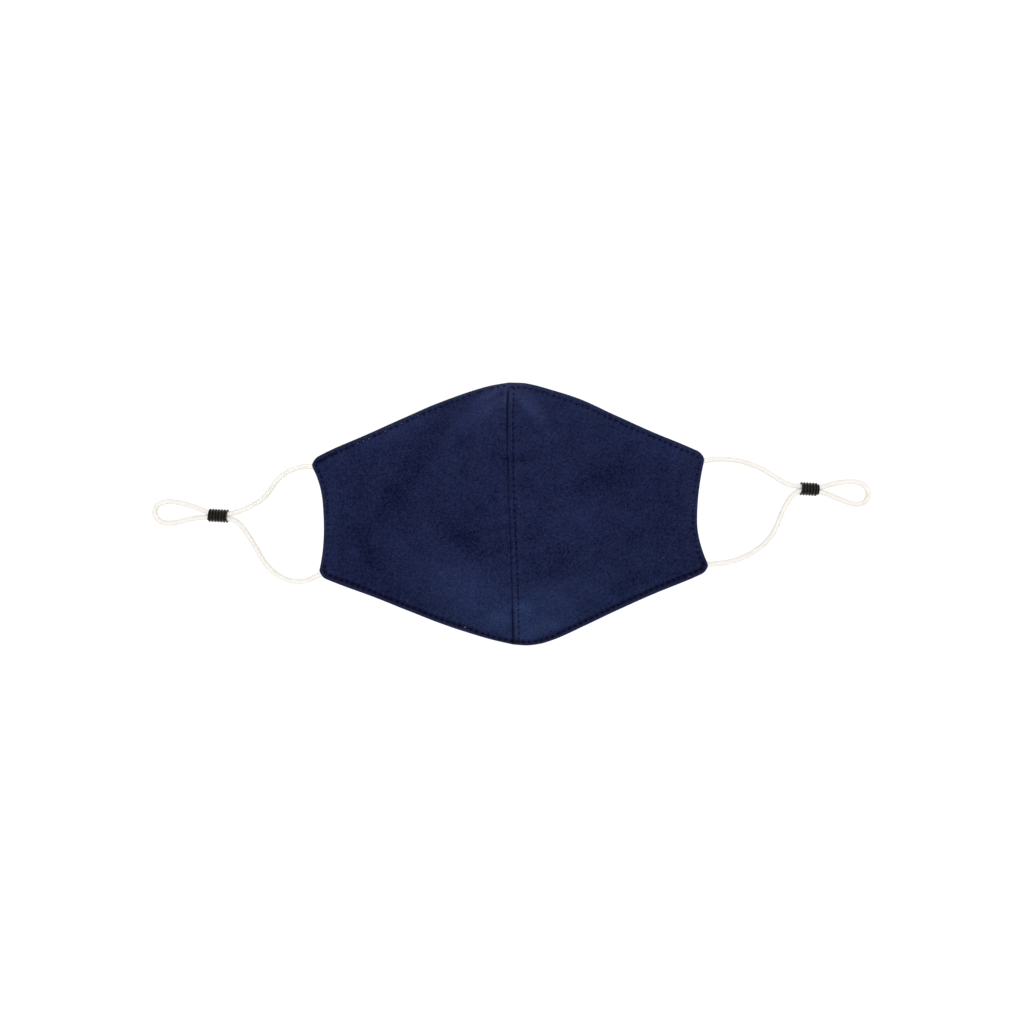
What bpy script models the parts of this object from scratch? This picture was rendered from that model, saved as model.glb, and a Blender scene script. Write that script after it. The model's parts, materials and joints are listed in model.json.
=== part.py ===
"""A cloth face mask with elastic ear cords, lying outer side up.

Two cotton panels meet at a curved seam down the middle and stand over a hollow. A round elastic
cord runs from the upper to the lower corner of each ear edge. On its way it passes twice through
a ribbed rubber adjuster, beyond which it makes a small loop.

Metres. X runs from ear to ear, Y from the chin edge to the nose edge and Z up from the surface
that the mask lies on. The origin is the middle of the two panels, on that surface.
"""

import math
from collections import namedtuple

import bmesh
import bpy
import numpy as np

# Driving sizes of the cloth
MASK_WIDTH = 0.2244  # from the outermost corner on the left to the one on the right
MASK_LENGTH = 0.1498  # from the chin edge to the nose edge
RIDGE_HEIGHT = 0.0300  # hollow under the centre seam at its highest point
CLOTH_THICKNESS = 0.0018  # all layers of a panel together
SEAM_GAP = 0.0003  # between the two panels
SEAM_OFFSET = 0.0006  # the seam's two ends lie to the right of the middle
SEAM_BOW = 0.0013  # how far the seam curves to the left between its ends
SEAM_BOW_AT = 0.75  # share of the way from chin to nose at which it curves most
EAR_HOLLOW = 0.0050  # how far an ear edge curves in between its two corners
EAR_MARGIN = 0.0110  # band along an ear edge that lies flat on the surface
CORNER_RADIUS = 0.0040
EDGE_LIFT = 0.0026  # most that a nose or chin edge stands clear of the surface

# Driving sizes of the cords and their adjusters
CORD_DIAMETER = 0.0029
CORD_END_GAP = 0.0007  # from the middle of a cord's end to the corner that it is sewn into
CORD_RISE = 0.0090  # length over which a strand climbs to its adjuster
CORD_SQUEEZE = 0.82  # share of its diameter that a strand keeps inside the adjuster
CORD_SWELL = 0.0024  # length over which a strand regains its diameter
ADJUSTER_LENGTH = 0.0103
ADJUSTER_WALL = 0.0005  # rubber between the bore's round ends and the valleys of the ribs
RIB_COUNT = 7
RIB_DEPTH = 0.0006
RIB_CREST = 0.40  # share of a rib's pitch that its flat crest takes
CLEARANCE = 0.0002  # between a strand and the other strand or the bore

# How finely the surfaces are divided
STATIONS_ACROSS = 22  # from the seam to the ear edge, without the corner's own
CORNER_STATIONS = 5
STATIONS_ALONG = 21  # from the chin edge to the nose edge
CORD_STEP = 0.0036
RIB_SIDES = 18
BORE_SIDES = 16
SHARP_ANGLE = math.radians(40)  # an edge that turns more than this is shaded sharp
MERGE_DISTANCE = 1e-6  # joins a turned profile's ends on its axis

LEFT, RIGHT = -1, 1

# The outline of each panel. station is the share of the way from the seam to the ear corner. nose_edge
# and chin_edge are shares of half of MASK_LENGTH.
Outline = namedtuple("Outline", "station nose_edge chin_edge")
OUTLINES = {
    LEFT: (
        Outline(0.00, 0.998, -0.990),
        Outline(0.09, 0.977, -0.958),
        Outline(0.18, 0.941, -0.918),
        Outline(0.36, 0.848, -0.826),
        Outline(0.54, 0.736, -0.718),
        Outline(0.72, 0.6225, -0.610),
        Outline(0.90, 0.514, -0.511),
        Outline(1.00, 0.441, -0.449),
    ),
    RIGHT: (
        Outline(0.00, 0.998, -0.990),
        Outline(0.07, 0.993, -0.998),
        Outline(0.13, 0.976, -0.989),
        Outline(0.20, 0.945, -0.960),
        Outline(0.36, 0.864, -0.857),
        Outline(0.54, 0.7375, -0.735),
        Outline(0.72, 0.614, -0.6235),
        Outline(0.90, 0.502, -0.5235),
        Outline(1.00, 0.434, -0.460),
    ),
}

# How far out each ear corner lies, as a share of half of MASK_WIDTH, and where on the corner's round its
# cord goes in: 1 at the ear edge's end and 0 at the nose or chin edge's
EarCorners = namedtuple("EarCorners", "nose_corner nose_entry chin_corner chin_entry")
EAR_CORNERS = {LEFT: EarCorners(1.000, 1.0, 0.971, 0.8), RIGHT: EarCorners(0.990, 1.0, 1.000, 1.0)}

# The hollow of each ear edge: its depth as a share of EAR_HOLLOW, the share of the way from chin to nose
# at which it is deepest, and its power, where 2 makes a parabola and more makes the middle flatter
EarHollow = namedtuple("EarHollow", "depth deepest_at power")
EAR_HOLLOWS = {LEFT: EarHollow(0.92, 0.61, 2.3), RIGHT: EarHollow(1.06, 0.39, 1.8)}

# The dome of a panel. station is the share of the way from the seam to the flat ear margin. crown is
# the share of RIDGE_HEIGHT, peak the share of the way from chin edge to nose edge at which it stands,
# nose_power and chin_power the roundness of the arch on its two sides, and edge_lift the share of EDGE_LIFT.
Dome = namedtuple("Dome", "station crown peak chin_power nose_power edge_lift")
DOME = (
    Dome(0.00, 1.000, 0.56, 2.0, 2.8, 0.35),
    Dome(0.06, 0.968, 0.56, 2.0, 2.8, 0.38),
    Dome(0.14, 0.920, 0.56, 2.0, 2.7, 0.48),
    Dome(0.26, 0.825, 0.55, 2.1, 2.5, 0.72),
    Dome(0.42, 0.645, 0.54, 2.2, 2.3, 1.00),
    Dome(0.60, 0.410, 0.53, 2.3, 2.2, 1.00),
    Dome(0.78, 0.185, 0.52, 2.3, 2.2, 0.65),
    Dome(0.90, 0.050, 0.51, 2.2, 2.2, 0.25),
    Dome(1.00, 0.000, 0.50, 2.0, 2.0, 0.00),
)

# The main folds. Stations run from the seam to the ear edge (across) and from the chin edge to the nose
# edge (along). width and depth are shares of RIDGE_HEIGHT, and a positive depth is a raised crease.
Fold = namedtuple("Fold", "side from_across from_along to_across to_along width depth")
FOLDS = (
    Fold(LEFT, 0.30, 0.86, 0.58, 0.60, 0.22, -0.055),
    Fold(LEFT, 0.58, 0.60, 0.80, 0.40, 0.24, -0.050),
    Fold(LEFT, 0.12, 0.93, 0.30, 0.80, 0.16, 0.045),
    Fold(LEFT, 0.40, 0.53, 0.16, 0.34, 0.20, -0.045),
    Fold(RIGHT, 0.09, 0.92, 0.20, 0.79, 0.15, 0.045),
    Fold(RIGHT, 0.38, 0.75, 0.60, 0.60, 0.30, -0.050),
    Fold(RIGHT, 0.62, 0.53, 0.80, 0.56, 0.22, -0.030),
)
FOLD_FREE_HEIGHT = 0.15  # share of RIDGE_HEIGHT that a panel reaches before its folds are at full depth
FOLD_FREE_SEAM = 0.10  # share of the way from the seam over which the folds grow

# The middle of each adjuster, and the direction in which its axis points at the mask
Adjuster = namedtuple("Adjuster", "x y turn_deg")
ADJUSTERS = {LEFT: Adjuster(-0.1649, 0.0020, -4.0), RIGHT: Adjuster(0.1700, 0.0112, 175.5)}
# Where a strand has points of its route inside an adjuster, in shares of its length from its middle
IN_ADJUSTER = (0.5, 0.3, 0.0, -0.3, -0.5)

# The routes of the cords on the surface, in metres: from the nose corner to the adjuster, round the loop
# beyond it, and from the adjuster to the chin corner
NOSE_STRAND = {
    LEFT: (
        (-0.1160, 0.0292), (-0.1206, 0.0283), (-0.1253, 0.0265), (-0.1297, 0.0237), (-0.1332, 0.0200),
        (-0.1361, 0.0159), (-0.1389, 0.0126), (-0.1423, 0.0098), (-0.1462, 0.0077), (-0.1502, 0.0058),
        (-0.1541, 0.0042),
    ),
    RIGHT: (
        (0.1160, 0.0291), (0.1206, 0.0292), (0.1257, 0.0289), (0.1308, 0.0280), (0.1359, 0.0264),
        (0.1411, 0.0244), (0.1462, 0.0217), (0.1508, 0.0187), (0.1551, 0.0159), (0.1593, 0.0138),
    ),
}
LOOP = {
    LEFT: (
        (-0.1766, 0.0063), (-0.1808, 0.0077), (-0.1852, 0.0090), (-0.1898, 0.0101), (-0.1944, 0.0105),
        (-0.1985, 0.0096), (-0.2011, 0.0074), (-0.2019, 0.0046), (-0.2010, 0.0016), (-0.1984, -0.0008),
        (-0.1945, -0.0017), (-0.1900, -0.0014), (-0.1855, -0.0004), (-0.1809, 0.0005), (-0.1766, 0.0011),
    ),
    RIGHT: (
        (0.1817, 0.0135), (0.1866, 0.0145), (0.1914, 0.0150), (0.1959, 0.0149), (0.1999, 0.0139),
        (0.2026, 0.0117), (0.2038, 0.0088), (0.2034, 0.0057), (0.2012, 0.0031), (0.1976, 0.0022),
        (0.1935, 0.0029), (0.1895, 0.0043), (0.1854, 0.0062), (0.1817, 0.0078),
    ),
}
CHIN_STRAND = {
    LEFT: (
        (-0.1556, -0.0013), (-0.1530, -0.0039), (-0.1501, -0.0077), (-0.1473, -0.0122), (-0.1444, -0.0173),
        (-0.1413, -0.0229), (-0.1377, -0.0278), (-0.1335, -0.0317), (-0.1289, -0.0344), (-0.1241, -0.0360),
        (-0.1193, -0.0363), (-0.1147, -0.0353), (-0.1116, -0.0338),
    ),
    RIGHT: (
        (0.1605, 0.0077), (0.1577, 0.0038), (0.1554, -0.0004), (0.1534, -0.0048), (0.1514, -0.0095),
        (0.1488, -0.0141), (0.1452, -0.0184), (0.1406, -0.0222), (0.1354, -0.0253), (0.1296, -0.0278),
        (0.1237, -0.0294), (0.1179, -0.0302),
    ),
}

# Colours of the finishes, linear red, green and blue
NAVY = (0.0125, 0.0175, 0.0545)
IVORY = (0.88, 0.86, 0.80)
BLACK = (0.013, 0.012, 0.011)


def clear_scene():
    """Remove every object of the startup scene."""
    for obj in list(bpy.data.objects):
        bpy.data.objects.remove(obj, do_unlink=True)


def new_collection(name, hidden=False):
    """Make a collection in the scene. A hidden one holds cutters, which no render shows."""
    collection = bpy.data.collections.new(name)
    collection.hide_render = hidden
    bpy.context.scene.collection.children.link(collection)
    return collection


def finish(name, colour, roughness):
    """A Principled material of one colour, with no metal in it."""
    material = bpy.data.materials.new(name)
    material.use_nodes = True
    shader = material.node_tree.nodes["Principled BSDF"]
    shader.inputs["Base Color"].default_value = (*colour, 1.0)
    shader.inputs["Roughness"].default_value = roughness
    shader.inputs["Metallic"].default_value = 0.0
    material.diffuse_color = (*colour, 1.0)
    return material


def smooth_column(rows, column, at):
    """Read a column of a table at any stations, along a smooth curve with no overshoot.

    The curve is a cubic between neighbouring rows. Its slope at a row is the harmonic mean of the
    slopes on both sides, or zero at a high or low point.
    """
    stations = np.array([row.station for row in rows])
    values = np.array([getattr(row, column) for row in rows])
    widths = np.diff(stations)
    rises = np.diff(values) / widths
    slopes = np.concatenate([rises[:1], np.zeros(len(rises) - 1), rises[-1:]])
    before, after = rises[:-1], rises[1:]
    same_way = before * after > 0
    slopes[1:-1][same_way] = 2 * before[same_way] * after[same_way] / (before + after)[same_way]
    index = np.clip(np.searchsorted(stations, at, side="right") - 1, 0, len(widths) - 1)
    width = widths[index]
    u = (at - stations[index]) / width
    start, end = values[index], values[index + 1]
    leave, arrive = slopes[index] * width, slopes[index + 1] * width
    return (
        start * (1 + 2 * u) * (1 - u) ** 2
        + leave * u * (1 - u) ** 2
        + end * u**2 * (3 - 2 * u)
        - arrive * u**2 * (1 - u)
    )


def smooth_step(share):
    """Rise from 0 to 1 with level ends as share goes from 0 to 1."""
    share = np.clip(share, 0.0, 1.0)
    return share**2 * (3 - 2 * share)


def seam_line(along):
    """X of the centre seam: a bow to the left, t**power * (1 - t), that is deepest at SEAM_BOW_AT."""
    power = SEAM_BOW_AT / (1 - SEAM_BOW_AT)
    deepest = SEAM_BOW_AT**power * (1 - SEAM_BOW_AT)
    return SEAM_OFFSET - SEAM_BOW * along**power * (1 - along) / deepest


def ear_line(side, along):
    """X of an ear edge: a straight line between its corners, less a hollow, 1 - u**power on both sides."""
    corners = EAR_CORNERS[side]
    corner = corners.chin_corner + (corners.nose_corner - corners.chin_corner) * along
    hollow = EAR_HOLLOWS[side]
    nose_side = (along - hollow.deepest_at) / (1 - hollow.deepest_at)
    chin_side = (hollow.deepest_at - along) / hollow.deepest_at
    depth = 1 - np.maximum(nose_side, chin_side) ** hollow.power
    return side * (corner * MASK_WIDTH / 2 - EAR_HOLLOW * hollow.depth * depth)


def corner_start():
    """Share of the way across at which a corner's round starts."""
    return 1 - CORNER_RADIUS / (MASK_WIDTH / 2)


def edge_line(side, column, across):
    """Y of a nose or chin edge. Its last stretch, before the ear edge, is a quarter of an ellipse."""
    start = corner_start()
    turn = np.clip((across - start) / (1 - start), 0.0, 1.0)
    line = smooth_column(OUTLINES[side], column, across) * MASK_LENGTH / 2
    return line - np.sign(line) * CORNER_RADIUS * (1 - np.sqrt(1 - turn**2))


def stations_across():
    """Even steps from the seam to the corner, then steps that follow its quarter turn."""
    start = corner_start()
    even = np.linspace(0.0, start, STATIONS_ACROSS, endpoint=False)
    turn = np.sin(np.linspace(0.0, math.pi / 2, CORNER_STATIONS + 1))
    return np.concatenate([even, start + (1 - start) * turn])


def fold_height(side, across, along, x, y, height):
    """Sum of the folds of one panel: a bell across each crease line, fading beyond its two ends."""
    total = np.zeros_like(x)
    grow = smooth_step(height / (FOLD_FREE_HEIGHT * RIDGE_HEIGHT)) * smooth_step(across / FOLD_FREE_SEAM)
    for fold in FOLDS:
        if fold.side != side:
            continue
        start = np.array(plan(side, fold.from_across, fold.from_along))
        end = np.array(plan(side, fold.to_across, fold.to_along))
        crease = end - start
        share = ((x - start[0]) * crease[0] + (y - start[1]) * crease[1]) / (crease @ crease)
        nearest = np.clip(share, 0.0, 1.0)
        away = np.hypot(x - start[0] - nearest * crease[0], y - start[1] - nearest * crease[1])
        total += fold.depth * RIDGE_HEIGHT * np.exp(-((away / (fold.width * RIDGE_HEIGHT)) ** 2))
    return total * grow


def plan(side, across, along):
    """X and Y of a place on a panel, from its shares of the way across and along."""
    across, along = np.asarray(across, float), np.asarray(along, float)
    seam = seam_line(along) + side * SEAM_GAP / 2
    x = seam + (ear_line(side, along) - seam) * across
    chin, nose = edge_line(side, "chin_edge", across), edge_line(side, "nose_edge", across)
    return x, chin + (nose - chin) * along


def underside_height(side, across, along):
    """Z of a panel's underside: an arch from chin edge to nose edge, and flat in the ear margin.

    On each side of its peak the arch is 1 - u**power, where u goes from 0 at the peak to 1 at the edge.
    """
    x, y = plan(side, across, along)
    seam = seam_line(along) + side * SEAM_GAP / 2
    margin = ear_line(side, along) - side * EAR_MARGIN
    station = np.clip((x - seam) / (margin - seam), 0.0, 1.0)
    crown = smooth_column(DOME, "crown", station) * RIDGE_HEIGHT
    peak = smooth_column(DOME, "peak", station)
    chin_side = np.clip((peak - along) / peak, 0.0, 1.0) ** smooth_column(DOME, "chin_power", station)
    nose_side = np.clip((along - peak) / (1 - peak), 0.0, 1.0) ** smooth_column(DOME, "nose_power", station)
    lift = smooth_column(DOME, "edge_lift", station) * EDGE_LIFT
    dome = lift + (crown - lift) * (1 - chin_side - nose_side)
    dome = np.where(station < 1.0, np.maximum(dome, 0.0), 0.0)
    return dome + fold_height(side, across, along, x, y, dome)


def panel_surfaces(side):
    """Grids of points of a panel's outer side and underside, across by along.

    Both share their X and Y, so the panels' seam faces stand upright. The outer side is higher by the
    cloth's thickness divided by the cosine of its slope.
    """
    across, along = np.meshgrid(stations_across(), np.linspace(0.0, 1.0, STATIONS_ALONG), indexing="ij")
    x, y = plan(side, across, along)
    under = np.dstack([x, y, underside_height(side, across, along)])
    normal = np.cross(np.gradient(under, axis=0), np.gradient(under, axis=1))
    steepness = np.linalg.norm(normal, axis=2) / np.abs(normal[..., 2])
    outer = under.copy()
    outer[..., 2] += CLOTH_THICKNESS * steepness
    return outer, under


def add_object(name, mesh, collection, material):
    """Put a mesh in the scene under this name, with its material, shaded smooth but for its sharp edges."""
    obj = bpy.data.objects.new(name, mesh)
    mesh.materials.append(material)
    mesh.shade_smooth()
    mesh.set_sharp_from_angle(angle=SHARP_ANGLE)
    collection.objects.link(obj)
    return obj


def add_panel(name, side, collection, material):
    """One cloth panel: a loft through closed sections, each its outer line and its underside line."""
    outer, under = panel_surfaces(side)
    sections = np.concatenate([outer, under[:, ::-1]], axis=1)
    count, around = sections.shape[:2]
    shape = bmesh.new()
    rings = [[shape.verts.new(point) for point in section] for section in sections]
    for ring, following in zip(rings, rings[1:]):
        for i in range(around):
            j = (i + 1) % around
            shape.faces.new((ring[i], ring[j], following[j], following[i]))
    for ring in (rings[0], rings[count - 1]):
        for i in range(around // 2 - 1):
            shape.faces.new((ring[i], ring[i + 1], ring[around - 2 - i], ring[around - 1 - i]))
    bmesh.ops.recalc_face_normals(shape, faces=shape.faces)
    mesh = bpy.data.meshes.new(name)
    shape.to_mesh(mesh)
    shape.free()
    return add_object(name, mesh, collection, material)


def adjuster_axis(side):
    """Middle of an adjuster, the unit vector of its axis towards the mask, and the one to its nose side."""
    adjuster = ADJUSTERS[side]
    turn = math.radians(adjuster.turn_deg)
    middle = np.array([adjuster.x, adjuster.y])
    axis = np.array([math.cos(turn), math.sin(turn)])
    to_nose = np.array([-axis[1], axis[0]])
    return middle, axis, to_nose if to_nose[1] > 0 else -to_nose


def strand_spacing():
    """Between the middles of the two strands inside an adjuster."""
    return CORD_DIAMETER * CORD_SQUEEZE + CLEARANCE


def bore_radius():
    """Radius of the round ends of an adjuster's bore, which is also half of its height."""
    return CORD_DIAMETER * CORD_SQUEEZE / 2 + CLEARANCE


def adjuster_radius():
    """Radius over the crests of an adjuster's ribs: its bore lies in it with the wall and the ribs around."""
    return strand_spacing() / 2 + bore_radius() + ADJUSTER_WALL + RIB_DEPTH


def rib_profile():
    """Points of the adjuster's outer side as (radius, distance along the axis), from its top end down.

    Each rib is a flat crest between two slopes, and narrow valleys lie between the ribs.
    """
    pitch = ADJUSTER_LENGTH / RIB_COUNT
    slope = (1 - RIB_CREST) / 2 * pitch
    crest = adjuster_radius()
    valley = crest - RIB_DEPTH
    points = []
    for rib in range(RIB_COUNT):
        start = ADJUSTER_LENGTH / 2 - rib * pitch
        points.append((valley, start))
        points.append((crest, start - slope))
        points.append((crest, start - pitch + slope))
    points.append((valley, -ADJUSTER_LENGTH / 2))
    return points


def add_barrel(name, collection, material):
    """The adjuster's barrel with no bore yet: its profile turned about Z with a Screw modifier."""
    line = [(0.0, ADJUSTER_LENGTH / 2), *rib_profile(), (0.0, -ADJUSTER_LENGTH / 2)]
    mesh = bpy.data.meshes.new(name)
    mesh.from_pydata([(radius, 0.0, z) for radius, z in line], [(i, i + 1) for i in range(len(line) - 1)], [])
    barrel = add_object(name, mesh, collection, material)
    turned = barrel.modifiers.new("turned", "SCREW")
    turned.axis = "Z"
    turned.steps = turned.render_steps = RIB_SIDES
    turned.use_merge_vertices = True
    turned.merge_threshold = MERGE_DISTANCE
    return barrel


def add_bore_cutter(name, collection):
    """A prism along Z, longer than the barrel, whose section has two straight sides and two round ends."""
    half_turn = np.linspace(-math.pi / 2, math.pi / 2, BORE_SIDES // 2 + 1)
    end = np.column_stack([bore_radius() * np.sin(half_turn), bore_radius() * np.cos(half_turn)])
    end[:, 1] += strand_spacing() / 2
    shape = bmesh.new()
    outline = [shape.verts.new((x, y, -ADJUSTER_LENGTH)) for x, y in np.concatenate([end, -end])]
    extruded = bmesh.ops.extrude_face_region(shape, geom=[shape.faces.new(outline)])
    raised = [piece for piece in extruded["geom"] if isinstance(piece, bmesh.types.BMVert)]
    bmesh.ops.translate(shape, verts=raised, vec=(0.0, 0.0, 2 * ADJUSTER_LENGTH))
    bmesh.ops.recalc_face_normals(shape, faces=shape.faces)
    mesh = bpy.data.meshes.new(name)
    shape.to_mesh(mesh)
    shape.free()
    cutter = bpy.data.objects.new(name, mesh)
    collection.objects.link(cutter)
    cutter.hide_render = True
    cutter.display_type = "WIRE"
    return cutter


def add_adjuster(name, side, parts, cutters, material):
    """A ribbed barrel with an oval bore cut through it, lying on the surface."""
    middle, _, _ = adjuster_axis(side)
    barrel = add_barrel(name, parts, material)
    cutter = add_bore_cutter(name + "_bore", cutters)
    for obj in (barrel, cutter):
        obj.location = (*middle, adjuster_radius())
        obj.rotation_euler = (0.0, math.radians(90), math.radians(ADJUSTERS[side].turn_deg))
    cut = barrel.modifiers.new("bore", "BOOLEAN")
    cut.operation = "DIFFERENCE"
    cut.object = cutter
    return barrel


def cord_end(side, entry, along, neighbour):
    """Where a cord ends just clear of the round of its corner, on the line from the route's next point."""
    across = corner_start() + (1 - corner_start()) * entry
    corner = np.array(plan(side, across, along))
    away = np.array(neighbour) - corner
    return corner + away / np.linalg.norm(away) * CORD_END_GAP


def cord_route(side):
    """Points (x, y) from corner through adjuster, loop and adjuster to corner, and which are at its mouths."""
    middle, axis, to_nose = adjuster_axis(side)
    along_axis = np.outer(IN_ADJUSTER, ADJUSTER_LENGTH * axis)
    to_loop = middle + along_axis + to_nose * strand_spacing() / 2
    from_loop = middle + along_axis[::-1] - to_nose * strand_spacing() / 2
    corners = EAR_CORNERS[side]
    start = cord_end(side, corners.nose_entry, 1.0, NOSE_STRAND[side][0])
    end = cord_end(side, corners.chin_entry, 0.0, CHIN_STRAND[side][-1])
    stretches = ([start, *NOSE_STRAND[side]], to_loop, LOOP[side], from_loop, [*CHIN_STRAND[side], end])
    first = np.cumsum([len(stretch) for stretch in stretches])
    mouths = [first[0], first[1] - 1, first[2], first[3] - 1]
    return np.concatenate(stretches), mouths


def smooth_route(points, mouths, step):
    """Points on a smooth curve through the route's own points, one at each mouth and evenly spaced between.

    The curve is a cubic between neighbours, with the slope at a point taken from its two neighbours.
    """
    reach = np.concatenate([[0.0], np.cumsum(np.linalg.norm(np.diff(points, axis=0), axis=1))])
    slopes = np.gradient(points, reach, axis=0)
    knots = reach[[0, *mouths, -1]]
    spans = [np.linspace(a, b, round((b - a) / step), endpoint=False) for a, b in zip(knots, knots[1:])]
    at = np.concatenate([*spans, knots[-1:]])
    index = np.clip(np.searchsorted(reach, at, side="right") - 1, 0, len(points) - 2)
    width = (reach[index + 1] - reach[index])[:, None]
    u = (at - reach[index])[:, None] / width
    return (
        points[index] * (1 + 2 * u) * (1 - u) ** 2
        + slopes[index] * width * u * (1 - u) ** 2
        + points[index + 1] * u**2 * (3 - 2 * u)
        - slopes[index + 1] * width * u**2 * (1 - u)
    )


def add_cord(name, side, collection, material):
    """An elastic cord on its route: on the surface, but raised and squeezed in its adjuster."""
    middle, _, _ = adjuster_axis(side)
    line = smooth_route(*cord_route(side), CORD_STEP)
    beyond_mouth = np.linalg.norm(line - middle, axis=1) - ADJUSTER_LENGTH / 2
    raised = 1 - smooth_step(beyond_mouth / CORD_RISE)
    heights = CORD_DIAMETER / 2 + (adjuster_radius() - CORD_DIAMETER / 2) * raised
    widths = CORD_SQUEEZE + (1 - CORD_SQUEEZE) * smooth_step(beyond_mouth / CORD_SWELL)

    curve = bpy.data.curves.new(name, "CURVE")
    curve.dimensions = "3D"
    curve.bevel_depth = CORD_DIAMETER / 2
    curve.bevel_resolution = 2
    curve.use_fill_caps = True
    spline = curve.splines.new("POLY")
    spline.points.add(len(line) - 1)
    for point, (x, y), z, width in zip(spline.points, line, heights, widths):
        point.co = (x, y, z, 1.0)
        point.radius = width
    curve.materials.append(material)
    obj = bpy.data.objects.new(name, curve)
    collection.objects.link(obj)
    return obj


def main():
    """Build the mask."""
    clear_scene()
    parts = new_collection("cloth_face_mask")
    cutters = new_collection("cutters", hidden=True)
    cotton = finish("navy_cotton", NAVY, roughness=0.92)
    elastic = finish("ivory_elastic", IVORY, roughness=0.80)
    rubber = finish("black_rubber", BLACK, roughness=0.55)
    for side, word in ((LEFT, "left"), (RIGHT, "right")):
        add_panel(f"{word}_panel", side, parts, cotton)
        add_adjuster(f"{word}_cord_adjuster", side, parts, cutters, rubber)
        add_cord(f"{word}_ear_cord", side, parts, elastic)


main()
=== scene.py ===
"""Looks of a navy cloth face mask with ivory elastic ear cords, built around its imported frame.

Metres. X runs from ear to ear, Y from the chin edge to the nose edge and Z up from the table.
"""

from __future__ import annotations

import json
import logging
import math
from dataclasses import dataclass, field
from enum import Enum
from typing import NamedTuple, Sequence, Union

import bpy
import numpy as np
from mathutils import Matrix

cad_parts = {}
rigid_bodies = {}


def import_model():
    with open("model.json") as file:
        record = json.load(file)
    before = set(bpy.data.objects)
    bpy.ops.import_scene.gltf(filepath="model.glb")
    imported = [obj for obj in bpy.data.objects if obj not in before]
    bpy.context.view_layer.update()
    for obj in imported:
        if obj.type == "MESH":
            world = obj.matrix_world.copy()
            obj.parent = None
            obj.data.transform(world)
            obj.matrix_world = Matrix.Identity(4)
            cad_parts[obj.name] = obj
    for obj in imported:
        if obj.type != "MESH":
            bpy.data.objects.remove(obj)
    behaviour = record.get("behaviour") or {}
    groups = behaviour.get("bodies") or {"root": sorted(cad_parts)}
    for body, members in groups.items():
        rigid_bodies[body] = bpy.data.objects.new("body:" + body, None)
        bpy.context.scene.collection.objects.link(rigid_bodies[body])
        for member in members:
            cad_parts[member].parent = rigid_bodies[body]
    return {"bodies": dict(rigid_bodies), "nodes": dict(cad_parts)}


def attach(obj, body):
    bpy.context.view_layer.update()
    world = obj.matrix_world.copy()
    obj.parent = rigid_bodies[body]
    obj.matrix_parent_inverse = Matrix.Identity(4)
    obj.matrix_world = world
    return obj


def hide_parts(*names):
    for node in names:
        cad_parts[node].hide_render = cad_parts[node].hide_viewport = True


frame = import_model()

log = logging.getLogger("face_mask")
MM = 0.001

Array = np.ndarray
Number = Union[float, "Wire"]
Colour = tuple[float, float, float]
Place = tuple[float, float, float]


class Side(Enum):
    """One half of the mask. Its value is the sign of X there."""

    LEFT = -1
    RIGHT = 1

    @property
    def word(self) -> str:
        """The side's name in lower case, for the names of pieces."""
        return self.name.lower()


class EdgeStation(NamedTuple):
    """Y of the nose and chin edges, as shares of half the mask's length, at a share of the way across."""

    station: float
    nose_edge: float
    chin_edge: float


class DomeStation(NamedTuple):
    """The arch from chin edge to nose edge at a share of the way from the seam to the flat ear margin."""

    station: float
    crown: float
    peak: float
    chin_power: float
    nose_power: float
    edge_lift: float


class HemStation(NamedTuple):
    """How far the stitches run from the nose and chin edges at an X on the table, all in millimetres."""

    x: float
    from_nose_edge: float
    from_chin_edge: float


class SeamShade(NamedTuple):
    """How dark the centre seam is at a Y, from 0 to 1, and its half width, in millimetres."""

    y: float
    darkness: float
    width: float


class Fold(NamedTuple):
    """A crease line between two places of a panel, with its width and height as shares of the ridge."""

    side: Side
    from_across: float
    from_along: float
    to_across: float
    to_along: float
    width: float
    depth: float


def table(kind: type, *rows: tuple) -> tuple:
    """Rows of one kind, from plain tuples in the order of its fields."""
    return tuple(kind(*row) for row in rows)


OUTLINES: dict[Side, tuple[EdgeStation, ...]] = {
    Side.LEFT: table(
        EdgeStation,
        (0, 0.998, -0.99), (0.09, 0.977, -0.958), (0.18, 0.941, -0.918), (0.36, 0.848, -0.826),
        (0.54, 0.736, -0.718), (0.72, 0.6225, -0.61), (0.9, 0.514, -0.511), (1, 0.441, -0.449),
    ),
    Side.RIGHT: table(
        EdgeStation,
        (0, 0.998, -0.99), (0.07, 0.993, -0.998), (0.13, 0.976, -0.989), (0.2, 0.945, -0.96),
        (0.36, 0.864, -0.857), (0.54, 0.7375, -0.735), (0.72, 0.614, -0.6235), (0.9, 0.502, -0.5235),
        (1, 0.434, -0.46),
    ),
}
# How far out the nose and chin corners of an ear edge lie, as shares of half the mask's width, and
# where on the round of each its cord goes in
EAR_CORNERS: dict[Side, tuple[float, float, float, float]] = {
    Side.LEFT: (1.000, 1.0, 0.971, 0.8),
    Side.RIGHT: (0.990, 1.0, 1.000, 1.0),
}
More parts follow.
